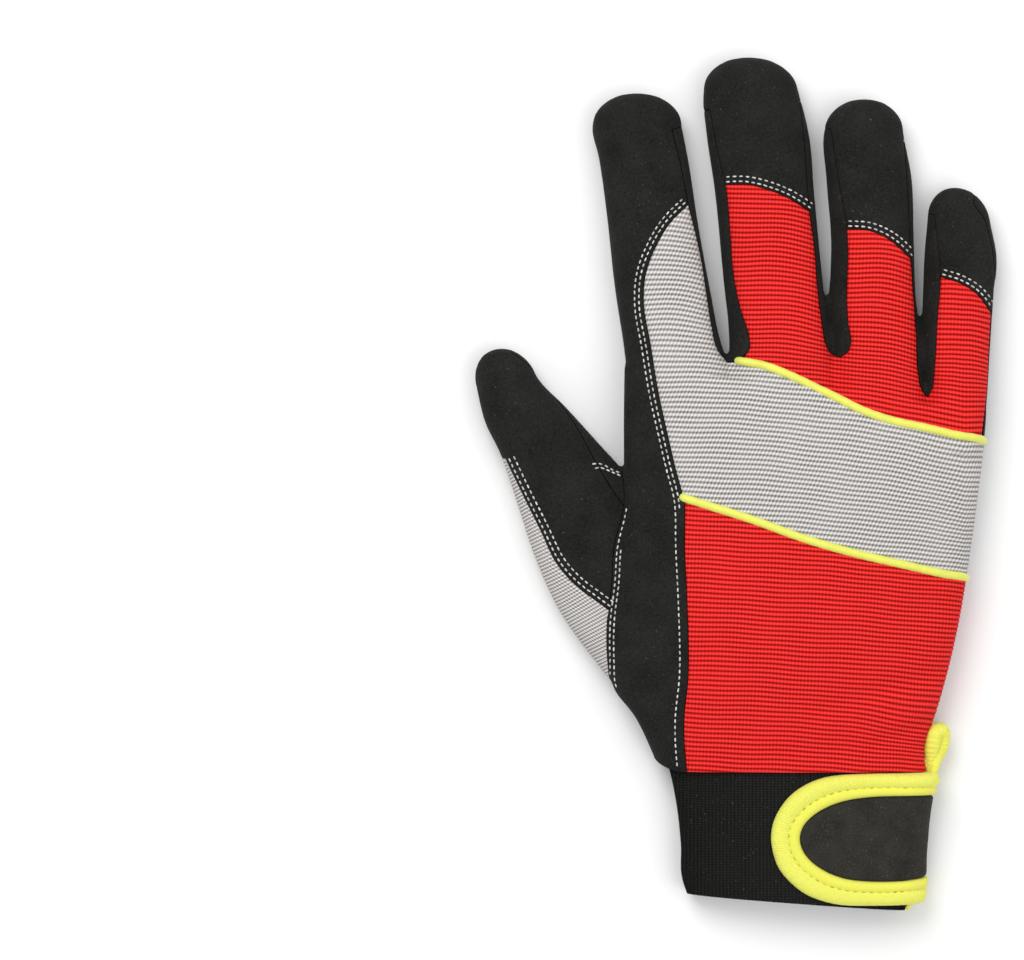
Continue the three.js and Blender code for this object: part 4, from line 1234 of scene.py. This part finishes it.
class GloveSizes(bpy.types.PropertyGroup):
    """Sizes of the cloth and its trims"""

    rib_pitch: FloatProperty(
        name="Rib pitch", description="Distance between two ribs of the elastic", default=1.46 * MM,
        min=0.8 * MM, max=3 * MM, unit="LENGTH", precision=5)
    rib_height: FloatProperty(
        name="Rib height", description="Height of a rib over its grooves", default=0.34 * MM,
        min=0.05 * MM, max=1 * MM, unit="LENGTH", precision=5)
    knit_pitch: FloatProperty(
        name="Knit pitch", description="Distance between two knit columns along a rib", default=1.05 * MM,
        min=0.5 * MM, max=3 * MM, unit="LENGTH", precision=5)
    seam_reach: FloatProperty(
        name="Seam reach", description="How far from a seam the cloth starts to turn in", default=1.5 * MM,
        min=0.2 * MM, max=4 * MM, unit="LENGTH", precision=5)
    seam_depth: FloatProperty(
        name="Seam depth", description="How deep the cloth turns in at a seam", default=0.5 * MM,
        min=0, max=1.2 * MM, unit="LENGTH", precision=5)
    piping_diameter: FloatProperty(
        name="Piping diameter", description="Thickness of the bright cords", default=2.6 * MM,
        min=1 * MM, max=4 * MM, unit="LENGTH", precision=5)
    stitch_pitch: FloatProperty(
        name="Stitch pitch", description="Distance from stitch to stitch", default=1.9 * MM,
        min=1 * MM, max=5 * MM, unit="LENGTH", precision=5)
    stitch_length: FloatProperty(
        name="Stitch length", description="Visible length of a stitch", default=1.15 * MM,
        min=0.4 * MM, max=4 * MM, unit="LENGTH", precision=5)
    thread_width: FloatProperty(
        name="Thread width", description="Thickness of the sewing thread", default=0.52 * MM,
        min=0.1 * MM, max=1.5 * MM, unit="LENGTH", precision=5)
    binding_thickness: FloatProperty(
        name="Binding thickness", description="Thickness of the bound edges", default=2.4 * MM,
        min=1 * MM, max=4 * MM, unit="LENGTH", precision=5)


class GloveLook(bpy.types.PropertyGroup):
    """Colours of the cloth and its trims"""

    suede: FloatVectorProperty(
        name="Suede", description="Colour of the suede", subtype="COLOR", default=srgb(30, 30, 28),
        min=0, max=1)
    knit: FloatVectorProperty(
        name="Cuff knit", description="Colour of the cuff", subtype="COLOR", default=srgb(30, 30, 28),
        min=0, max=1)
    strap: FloatVectorProperty(
        name="Strap", description="Colour of the strap", subtype="COLOR", default=srgb(41, 40, 36),
        min=0, max=1)
    red: FloatVectorProperty(
        name="Red elastic", description="Colour of the red ribs", subtype="COLOR", default=srgb(226, 38, 35),
        min=0, max=1)
    grey: FloatVectorProperty(
        name="Grey elastic", description="Colour of the grey ribs", subtype="COLOR",
        default=srgb(192, 188, 185), min=0, max=1)
    yellow: FloatVectorProperty(
        name="Piping and binding", description="Colour of the bright trims", subtype="COLOR",
        default=srgb(230, 229, 62), min=0, max=1)
    thread: FloatVectorProperty(
        name="Thread", description="Colour of the seam stitches", subtype="COLOR",
        default=srgb(222, 222, 217), min=0, max=1)


# Operators

FLOOR = 1800                # half of the floor's side
ROOM_LIGHT = 0.72
LAMPS = (                   # name, place and size in metres, and power in watts
    ("key", (-0.45, 0.7, 1.1), 0.9, 10.5),
    ("fill", (0.7, -0.3, 1.2), 1.2, 5.0),
)
VIEW_MIDDLE = (-0.0689, 0.0011)     # what the camera looks down at, and how wide it sees, in metres
VIEW_WIDTH = 0.3128
GLOVE_MIDDLE = 0.01         # height of the middle of the glove, in metres


class GLOVE_OT_stage(bpy.types.Operator):
    """Makes the floor, the lights and the camera"""

    bl_idname = "glove.stage"
    bl_label = "Stage"

    def execute(self, context):
        corners = [(-FLOOR, -FLOOR, 0), (FLOOR, -FLOOR, 0), (FLOOR, FLOOR, 0), (-FLOOR, FLOOR, 0)]
        floor = bpy.data.objects.new("floor", new_mesh("floor", corners, [(0, 1, 2, 3)]))
        paper = Recipe("paper", 0.95, Specular_IOR_Level=0.2)
        paper.colour(paper.mix(paper.noise(300.0, 1.0), (0.86, 0.86, 0.86), (0.88, 0.88, 0.88)))
        floor.data.materials.append(paper.material)
        context.scene.collection.objects.link(floor)

        world = bpy.data.worlds.new("studio")
        world.use_nodes = True
        world.node_tree.nodes["Background"].inputs["Color"].default_value = (1, 1, 1, 1)
        world.node_tree.nodes["Background"].inputs["Strength"].default_value = ROOM_LIGHT
        context.scene.world = world
        middle = Vector((0, 0, GLOVE_MIDDLE))
        for name, place, size, power in LAMPS:
            light = bpy.data.lights.new(name, "AREA")
            light.shape = "DISK"
            light.size = size
            light.energy = power
            lamp = bpy.data.objects.new(name, light)
            lamp.location = place
            lamp.rotation_euler = (middle - Vector(place)).to_track_quat("-Z", "Y").to_euler()
            context.scene.collection.objects.link(lamp)

        lens = bpy.data.cameras.new("camera")
        lens.lens = 135
        lens.sensor_width = 36
        camera = bpy.data.objects.new("camera", lens)
        camera.location = (*VIEW_MIDDLE, GLOVE_MIDDLE + VIEW_WIDTH * lens.lens / lens.sensor_width)
        context.scene.collection.objects.link(camera)
        context.scene.camera = camera
        context.scene.view_settings.view_transform = "Standard"
        return {"FINISHED"}


# Suede turns in less at a seam than the elastic does
SUEDE_REACH, SUEDE_DEPTH = 0.75, 0.55


class GLOVE_OT_suede(bpy.types.Operator):
    """Makes the suede pieces of the hand, fingers and thumb"""

    bl_idname = "glove.suede"
    bl_label = "Suede pieces"

    def execute(self, context):
        sizes = context.scene.glove_sizes
        reach, depth = sizes.seam_reach / MM * SUEDE_REACH, sizes.seam_depth / MM * SUEDE_DEPTH
        for node, mesh in suede_shells().items():
            roll_edges(mesh, hand_form().tree, reach, depth)
            dress(f"{node}_suede", mesh, suede_finish(), node)
        return {"FINISHED"}


class GLOVE_OT_ribbed(bpy.types.Operator):
    """Makes the ribbed elastic of the back and the thumb"""

    bl_idname = "glove.ribbed"
    bl_label = "Ribbed elastic"

    def execute(self, context):
        sizes = context.scene.glove_sizes
        wrist_side = np.array([(-120, -130), (120, -130), (120, WRIST_END), (-120, WRIST_END)], float)
        for node, (surface, _, _, _, slot, fineness, _) in RIBBED_TABLE.items():
            body, face_tree = ribbed_body(node, sizes)
            mesh = carved(body, blocks(node, -GAP / 2), "INTERSECT")
            if node == "back_red_lower":
                mesh = slit_cut(carved(mesh, prism(wrist_side, -FAR, FAR), "DIFFERENCE"), 120)
            mesh = main_part(mesh)
            roll_edges(mesh, face_tree, sizes.seam_reach / MM, sizes.seam_depth / MM)
            pitch, knit_pitch = sizes.rib_pitch / MM * fineness, sizes.knit_pitch / MM * fineness
            mark_weave(mesh, SURFACES[surface], pitch, knit_pitch)
            finish = red_finish() if slot == "red_rib" else grey_finish()
            dress(f"{node}_elastic", mesh, finish, node)
        return {"FINISHED"}


# Piping cords: seam, where the cord ends on the little finger side, and how deep its start is sewn in
CORDS = {
    "piping_upper": (UPPER_PIPING, 12.6, 0.5),
    "piping_lower": (LOWER_PIPING, -29.2, 1.4),
}
CORD_SIDES = 14
SIDE_STEPS = 12             # points of a cord round the little finger side, and the angle that it turns to
SIDE_ANGLE = math.radians(80)
SEWN_IN = np.array([1, 0.6, 0.15])      # how a cord's start comes up out of its seam
CORD_END = (0.55, 0.85, 0.96)           # how a cord's ends taper


def cord_route(seam, end_y):
    """Points and normals along a cord's seam and on round the little finger side."""
    flat = resampled(curve_through(seam), 1.0)
    lead = flat[0] - (flat[1] - flat[0])
    flat = np.vstack([2 * lead - flat[0], lead, flat])
    route = [lifted(x, y) for x, y in flat]
    last_x, last_y = flat[-1]
    last_z = route[-1][0].z
    for step in np.linspace(0, 1, SIDE_STEPS)[1:]:
        y = last_y + (end_y - last_y) * step
        turn = turn_x(y)
        start = math.atan2(last_x - turn, last_z - TURN_HEIGHT)
        ray = side_ray(turn, TURN_HEIGHT, start + (SIDE_ANGLE - start) * step, y)
        route.append(ray_hit(hand_form().tree, *ray))
    places = np.array([place for place, _ in route])
    normals = np.array([normal for _, normal in route])
    for _ in range(3):
        places[1:-1] = (places[:-2] + places[1:-1] * 2 + places[2:]) / 4
        normals[1:-1] = (normals[:-2] + normals[1:-1] * 2 + normals[2:]) / 4
    return places, normals


class GLOVE_OT_piping(bpy.types.Operator):
    """Makes the two piping cords of the back"""

    bl_idname = "glove.piping"
    bl_label = "Piping"

    def execute(self, context):
        radius = context.scene.glove_sizes.piping_diameter / MM / 2
        angle = np.linspace(0, 2 * math.pi, CORD_SIDES, endpoint=False)
        ring = np.stack([np.sin(angle), np.cos(angle)], 1) * radius
        for node, (seam, end_y, sewn_in) in CORDS.items():
            places, normals = cord_route(seam, end_y)
            sinking = np.full(len(places), PIPING_SUNK)
            sinking[:3] += sewn_in * SEWN_IN
            places -= normals * sinking[:, None]
            fine = curve_through(places, 2)
            fine_normals = curve_through(normals, 2, places)
            size = np.ones(len(fine))
            size[:3] = size[-3:][::-1] = CORD_END
            size += 0.025 * np.sin(np.arange(len(fine)) * 0.9)
            mesh = swept(node, fine, fine_normals, ring[None] * size[:, None, None])
            dress(f"{node}_cord", mesh, piping_finish(), node)
        return {"FINISHED"}


PADS = {                    # outline, and inner seams
    "palm_pad_knuckle": (KNUCKLE_PAD, ()),
    "palm_pad_heel": (HEEL_PAD, HEEL_PAD_FAN),
}
PAD_GRAIN = 0.75            # spacing of a pad's points
PAD_SEAM = 1.9              # how far inside its rim a pad is sewn down
PAD_SEAM_RISE = 0.95        # how far its cloth rises at a seam, and how wide that channel is
PAD_SEAM_WIDTH = 1.35
PAD_LOWEST = 0.03           # how close it comes to the floor elsewhere
PAD_TOP = 2.2               # a pad's upper side lies inside the palm
PAD_RIM_TO = 1.45           # a pad's rim is rounded up to this height, over this width
PAD_RIM_WIDTH = 1.3
PAD_STITCH_INSETS = (1.2, 2.6)
FAN_STITCH_ASIDE = (-0.75, 0.75)


def pad_body(name, rim, inner):
    """A pad that bulges down between its seams, its rim rounded except along the thumb side."""
    sewn = [resampled(grown(rim, -PAD_SEAM), 0.6, closed=True)]
    sewn += [resampled(line, 0.6) for line in inner]
    seams = distances_to(np.vstack(sewn))
    xs = np.arange(rim[:, 0].min() - 1, rim[:, 0].max() + 1, PAD_GRAIN)
    ys = np.arange(rim[:, 1].min() - 1, rim[:, 1].max() + 1, PAD_GRAIN)
    grid = np.array([(x, y) for y in ys for x in xs])
    away = np.array([seams.find((x, y, 0))[2] for x, y in grid])
    low = PAD_LOWEST + PAD_SEAM_RISE * np.exp(-((away / PAD_SEAM_WIDTH) ** 2))
    low += 0.02 * np.sin(grid[:, 0]) * np.cos(grid[:, 1] * 0.8)
    bottom = np.column_stack([grid, np.maximum(low, 0.0)])
    top = np.column_stack([grid, np.full(len(grid), PAD_TOP)])
    mesh = carved(sheet(name, bottom, top, len(ys), len(xs)), prism(rim, -5, 5), "INTERSECT")
    points = points_of(mesh)
    rounded = distances_to(resampled(rim, 0.5, closed=True)[:len(rim) * 4])  # about three quarters of the rim
    for i, (x, y, z) in enumerate(points):
        if z < 1.5:
            near = rounded.find((x, y, 0))[2]
            points[i, 2] = z + (PAD_RIM_TO - z) * max(0.0, 1 - near / PAD_RIM_WIDTH) ** 2
    put_points(mesh, points)
    return mesh


def pad_rows(mesh, rim, inner, pitch):
    """Stitch rows on a pad's underside: two round its rim, and one on each side of its inner seams."""
    paths = [resampled(grown(rim, -inset), pitch, closed=True) for inset in PAD_STITCH_INSETS]
    for line in inner:
        middle = resampled(line, 1.0)
        paths += [resampled(moved_aside(middle, aside), pitch) for aside in FAN_STITCH_ASIDE]
    tree = bvh_of(mesh)
    rows = []
    for path in paths:
        hits = [ray_hit(tree, (x, y, -FAR), UP)[0] for x, y in path]
        hits = [np.array(hit) for hit in hits if hit is not None]
        if len(hits) > 2:
            rows.append((np.array(hits), np.tile((0.0, 0.0, -1.0), (len(hits), 1))))
    return rows


class GLOVE_OT_pads(bpy.types.Operator):
    """Makes the stitched pads of the palm"""

    bl_idname = "glove.pads"
    bl_label = "Palm pads"

    def execute(self, context):
        sizes = context.scene.glove_sizes
        thread = thread_finish("white_thread", tuple(context.scene.glove_look.thread))
        for node, (edge, inner) in PADS.items():
            rim = closed_curve(edge)
            mesh = pad_body(node, rim, inner)
            pad = dress(f"{node}_suede", mesh, suede_finish(), node)
            rows = pad_rows(mesh, rim, inner, sizes.stitch_pitch / MM)
            dress(f"{node}_stitches", stitch_mesh(f"{node}_stitches", rows, sizes, height=0.05), thread)
        return {"FINISHED"}


KNIT_RIB = 1.1              # width of an upright rib of the cuff
KNIT_ROW = 0.8              # height of a row of its loops
KNIT_RELIEF = 0.16          # half of how high a rib stands over its grooves
KNIT_WALL = 1.9             # the cuff's knit is doubled
CUFF_MIDDLE = (18.5, 8)     # x and z of the middle of the cuff
CUFF_START = (              # the cuff's rows inside the hand's hem, in place of its first row
    (-21.2, -83, 57.2, -83, 16.9, 1.9),
    (-21, -86, 57, -86, 16.8, 1.6),
    (-20.2, -89, 56.8, -88.6, 16.9, 0.3),
)


def knit_tube(ribs=150, steps=4, cuts=9, inner_sides=96):
    """The cuff's outside with upright ribs, and its inside, as points and faces."""
    sides = ribs * steps
    rows = [*CUFF_START, *CUFF[1:]]
    outer, faces = loft(rows, HAND_FORM, sides, cuts=cuts)
    inner, _ = loft(slid_ends(rows, 2, -2), HAND_FORM, inner_sides, shrink=KNIT_WALL, cuts=cuts)
    phase = (np.arange(sides) % steps) / steps
    rise = KNIT_RELIEF * (1 - np.cos(2 * math.pi * phase)) - KNIT_RELIEF
    grid = outer.reshape(len(outer) // sides, sides, 3)
    out = np.roll(grid, -2, axis=1) - np.roll(grid, 2, axis=1)
    out = np.stack([-out[..., 2], np.zeros(out.shape[:2]), out[..., 0]], -1)
    out /= np.maximum(1e-6, np.linalg.norm(out, axis=2))[..., None]
    grid = grid + out * rise[None, :, None]
    grid[..., 2] = np.maximum(grid[..., 2], RESTING)
    return grid.reshape(-1, 3), faces, inner, tube_faces(len(inner) // inner_sides, inner_sides)


class GLOVE_OT_cuff(bpy.types.Operator):
    """Makes the knitted cuff with its slit"""

    bl_idname = "glove.cuff"
    bl_label = "Cuff"

    def execute(self, context):
        outer, faces, inner, inner_faces = knit_tube()
        body = new_mesh("cuff", outer, faces)
        mesh = carved(body, new_mesh("inside", inner, inner_faces), "DIFFERENCE")
        mesh = main_part(slit_cut(mesh))
        points = points_of(mesh)
        middle_x, middle_z = CUFF_MIDDLE
        round_cuff = np.where(points[:, 2] > middle_z, 0, 0.5) + (points[:, 0] - middle_x) / KNIT_RIB
        put_weave(mesh, points[:, 1] / KNIT_ROW, round_cuff)
        dress("cuff_knit", mesh, knit_finish(), "cuff")
        return {"FINISHED"}


CUFF_TOP = -90              # where the way down the cuff is measured from, and how long it is
CUFF_LENGTH = 36
CUFF_TURN = 46.0            # where the strap starts to turn down, and the height and radius of its turn
CUFF_TURN_HEIGHT = 6.5
CUFF_TURN_RADIUS = 9.5
STAND_OFF_FROM = 38         # where the strap starts to stand off, and how soon it does so in full
STAND_OFF_FADE = 15


@functools.cache
def cuff_tree():
    """The plain outside of the cuff, for what lies on it, carried on under the hand."""
    rows = [(-21, -80, 57, -80, 17.6, 0), *CUFF]
    return bvh_of(new_mesh("cuff_outside", *loft(rows, HAND_FORM, 120, shrink=-0.15, cuts=8)))


def cuff_surface(x, y):
    """The cuff's surface and the strap's stand-off over a place, rolled round the little finger side."""
    down = CUFF_TOP - y
    turn = CUFF_TURN - 0.03 * down
    if x <= turn:
        ray = (x, y, FAR), DOWN
    else:
        ray = side_ray(turn, CUFF_TURN_HEIGHT, (x - turn) / CUFF_TURN_RADIUS, y)
    point, normal = ray_hit(cuff_tree(), *ray)
    share = min(1.0, max(0.0, (x - STAND_OFF_FROM) / STAND_OFF_FADE))
    lift = STRAP_STAND_OFF * share**2 * (3 - 2 * share) * (1 - 0.45 * down / CUFF_LENGTH)
    return np.array(point), np.array(normal), lift


STITCH_LEVEL = 0.66         # height of the binding at its stitches, as a share of its thickness
BINDING_PROFILE = (         # from the inner edge to the outer: share of the width, share of the thickness
    (0.0, 0.15), (0.03, 0.5), (0.09, 0.78), (0.2, 0.9), (0.32, 0.86), (0.38, 0.74),
    (STITCH_SHARE, STITCH_LEVEL), (0.45, 0.78), (0.56, 0.96), (0.72, 1.0), (0.87, 0.86), (0.96, 0.5),
    (1.0, 0.1),
)
BINDING_CUTS = 190          # cross sections of the binding along the strap's edge
BINDING_LOOP = 0.56         # length of a knitted loop of the binding
BINDING_STITCH = 2.4        # distance from stitch to stitch on the binding
STRAP_ROWS, STRAP_COLUMNS = 60, 44
STRAP_NOSE = 0.3            # the strap's first row lies so far in from its end
STRAP_EDGE_HEIGHT = 0.6     # height of the strap at its edge, and how much higher its middle is
STRAP_CROWN = 0.9
STRAP_RIM = 1.2             # width of its rounded rim


def strap_edges():
    """The inner and the outer edge of the strap's binding, as points that face each other."""
    steps = np.linspace(0, 1, BINDING_CUTS)
    edges = []
    for edge in (STRAP_EDGE, BINDING_EDGE):
        edge = resampled(curve_through(edge), 0.2)
        places = np.linspace(0, 1, len(edge))
        edges.append(np.stack([np.interp(steps, places, column) for column in edge.T], 1))
    return edges


def binding_body(inside, outside, thick):
    """The binding, rolled over the strap's edge from its inner to its outer side."""
    top, under = [], []
    for i in range(BINDING_CUTS):
        for share, height in BINDING_PROFILE:
            x, y = inside[i] + (outside[i] - inside[i]) * share
            point, normal, lift = cuff_surface(x, y)
            ripple = 0.07 * math.sin(i * 1.7 + share * 5) * (share > 0.5)
            top.append(point + normal * (height * thick + ripple + lift))
            under.append(point + normal * UNDER)
    columns = len(BINDING_PROFILE)
    mesh = sheet("strap_binding", top, under, BINDING_CUTS, columns)
    run = np.concatenate([[0], np.cumsum(np.linalg.norm(np.diff(outside, axis=0), axis=1))])
    shares = np.array([share for share, _ in BINDING_PROFILE])
    loops = np.repeat(run / BINDING_LOOP, columns)
    put_weave(mesh, np.tile(loops, 2), np.tile(shares, 2 * BINDING_CUTS))
    return mesh


def strap_body(inside):
    """The strap inside its binding: a slightly uneven tape with a rounded rim."""
    half = BINDING_CUTS // 2
    left, right = inside[:, 0].min(), inside[0, 0]
    top, under = [], []
    for i in range(STRAP_ROWS):
        x = left + STRAP_NOSE + (right - left - STRAP_NOSE) * (i / (STRAP_ROWS - 1)) ** 1.35
        high = np.interp(x, inside[:half][::-1, 0], inside[:half][::-1, 1])
        low = np.interp(x, inside[half:, 0], inside[half:, 1])
        for j in range(STRAP_COLUMNS):
            share = j / (STRAP_COLUMNS - 1)
            y = low + (high - low) * share
            point, normal, lift = cuff_surface(x, y)
            rim = min(1.0, min(share * (high - low), (1 - share) * (high - low), x - left) / STRAP_RIM)
            height = STRAP_EDGE_HEIGHT + STRAP_CROWN * math.sqrt(max(0.0, rim * (2 - rim)))
            height += 0.14 * math.sin(x / 5.5 + 1) * math.cos((y + 107) / 6) + lift
            top.append(point + normal * height)
            under.append(point + normal * UNDER)
    return sheet("strap", top, under, STRAP_ROWS, STRAP_COLUMNS)


class GLOVE_OT_strap(bpy.types.Operator):
    """Makes the closing strap and its bound edge"""

    bl_idname = "glove.strap"
    bl_label = "Strap"

    def execute(self, context):
        sizes = context.scene.glove_sizes
        thick = sizes.binding_thickness / MM
        inside, outside = strap_edges()
        binding = binding_body(inside, outside, thick)
        dress("strap_binding_tape", binding, binding_finish(), "strap_binding", sharp=60)
        dress("strap_tape", strap_body(inside), loop_finish(), "strap", sharp=60)

        path = resampled(inside + (outside - inside) * STITCH_SHARE, BINDING_STITCH)
        places = [cuff_surface(x, y) for x, y in path]
        points = np.array([point + normal * (thick * STITCH_LEVEL + lift) for point, normal, lift in places])
        normals = np.array([normal for _, normal, _ in places])
        yellow_thread = thread_finish("yellow_thread", scaled(tuple(context.scene.glove_look.yellow), 0.85))
        stitches = stitch_mesh("strap_stitches", [(points, normals)], sizes, height=0.06)
        dress("strap_stitches", stitches, yellow_thread)
        return {"FINISHED"}


# The bound slit as rows of x, y, z and half width: its edge from the cuff's end upwards, and its bunched loop
SLIT_TAPE = (
    (51.6, -130.2, 8, 1.3), (52.6, -126, 8, 1.2), (53.6, -112, 8, 1.1), (54.2, -98, 8, 1.1),
    (56.2, -89, 8, 1.2), (57.8, -84, 8, 1.3), (59.0, -79, 8, 1.3), (59.6, -76, 8, 1.0),
)
LOOP_TAPE = (
    (58.4, -89.4, 7.6, 1.3), (58.8, -86.4, 7.6, 1.6), (59.0, -83.2, 8.0, 2.3), (59.4, -79.6, 8.7, 2.9),
    (60.4, -76.2, 8.8, 3.1), (62.4, -75.8, 7.9, 2.7), (62.8, -78.6, 7.0, 2.5), (62.0, -81.4, 6.6, 2.6),
    (60.9, -83.8, 7.2, 2.2), (60.3, -86.4, 8.2, 1.7), (59.6, -89.6, 8.2, 1.3),
)


def tape(name, rows, flat, sides=20, cuts=12):
    """A rounded, slightly ridged tape along rows of x, y, z and half width. Flat is thickness by width."""
    rows = curve_through(np.asarray(rows, float), cuts)
    angle = np.linspace(0, 2 * math.pi, sides, endpoint=False)
    ridge = 1 + 0.04 * np.sin(np.arange(len(rows)) * 1.3)
    section = np.stack([np.sin(angle) * flat, np.cos(angle)], 1)[None] * (rows[:, 3] * ridge)[:, None, None]
    return swept(name, rows[:, :3], np.tile((0.0, 0.0, 1.0), (len(rows), 1)), section)


class GLOVE_OT_slit(bpy.types.Operator):
    """Makes the bound edge of the wrist slit with its bunched loop"""

    bl_idname = "glove.slit"
    bl_label = "Bound slit"

    def execute(self, context):
        mesh = joined(tape("slit_edge", SLIT_TAPE, 0.9), tape("slit_loop", LOOP_TAPE, 0.95))
        points = points_of(mesh)
        put_weave(mesh, points[:, 1] / BINDING_LOOP, np.full(len(points), STITCH_SHARE + 0.01))
        dress("slit_binding_tape", mesh, binding_finish(), "slit_binding", sharp=60)
        return {"FINISHED"}


class GLOVE_OT_stitching(bpy.types.Operator):
    """Makes the double rows of seam stitches"""

    bl_idname = "glove.stitching"
    bl_label = "Seam stitches"

    def execute(self, context):
        sizes = context.scene.glove_sizes
        white = thread_finish("white_thread", tuple(context.scene.glove_look.thread))
        side = stretch(INDEX_SIDE_SEAM)
        side = side[side[:, 1] > WRIST_END + 1.2]       # the rows end short of the hem
        root = stretch(THUMB_ROOT_BACK, 2, 7)
        groups = {
            "index_seam_stitches": rows_beside(side[side[:, 1] > -9], (-1.3,), sizes)
            + rows_beside(side, (-2.6,), sizes),
            "middle_cap_stitches": rows_beside(stretch(MIDDLE_CAP_SEAM), (0.9, 2.4), sizes),
            "ring_cap_stitches": rows_beside(stretch(RING_CAP_SEAM), (0.9, 2.4), sizes),
            "little_cap_stitches": rows_beside(stretch(LITTLE_CAP_SEAM), (0.9, 2.3), sizes),
            "thumb_root_stitches": rows_beside(root[root[:, 1] > -59], (1.0,), sizes)
            + rows_beside(root[root[:, 1] < -18], (2.2,), sizes),
            "thumb_grey_stitches": rows_beside(stretch(THUMB_GREY_BACK), (1.2, 2.8), sizes),
            "thumb_facet_stitches": [surface_row(curve_through(row), sizes) for row in THUMB_FACET_ROWS],
            "thumb_arc_stitches": rows_beside(stretch(THUMB_ARC, 1, 9), (1.0, 2.5), sizes, below=True)
            + rows_beside(THUMB_NOTCH[1:], (1.0, 2.3), sizes, below=True),
        }
        for name, rows in groups.items():
            dress(name, stitch_mesh(name, rows, sizes), white)
        return {"FINISHED"}


class GLOVE_PT_panel(bpy.types.Panel):
    """Lists the glove's pieces, sizes and colours"""

    bl_label = "Glove"
    bl_idname = "GLOVE_PT_panel"
    bl_space_type = "VIEW_3D"
    bl_region_type = "UI"
    bl_category = "Glove"

    def draw(self, context):
        for operator in OPERATORS:
            self.layout.operator(operator.bl_idname)
        for group in (context.scene.glove_sizes, context.scene.glove_look):
            box = self.layout.box()
            for name in group.__annotations__:
                box.prop(group, name)


OPERATORS = (
    GLOVE_OT_stage, GLOVE_OT_suede, GLOVE_OT_ribbed, GLOVE_OT_piping, GLOVE_OT_pads, GLOVE_OT_cuff,
    GLOVE_OT_strap, GLOVE_OT_slit, GLOVE_OT_stitching,
)
CLASSES = (GloveSizes, GloveLook, *OPERATORS, GLOVE_PT_panel)


def register():
    for made in CLASSES:
        bpy.utils.register_class(made)
    bpy.types.Scene.glove_sizes = PointerProperty(type=GloveSizes)
    bpy.types.Scene.glove_look = PointerProperty(type=GloveLook)


def unregister():
    del bpy.types.Scene.glove_look
    del bpy.types.Scene.glove_sizes
    for made in reversed(CLASSES):
        bpy.utils.unregister_class(made)


def main():
    register()
    bpy.ops.glove.stage()
    bpy.ops.glove.suede()
    bpy.ops.glove.ribbed()
    bpy.ops.glove.piping()
    bpy.ops.glove.pads()
    bpy.ops.glove.cuff()
    bpy.ops.glove.strap()
    bpy.ops.glove.slit()
    bpy.ops.glove.stitching()


if __name__ == "__main__":
    main()
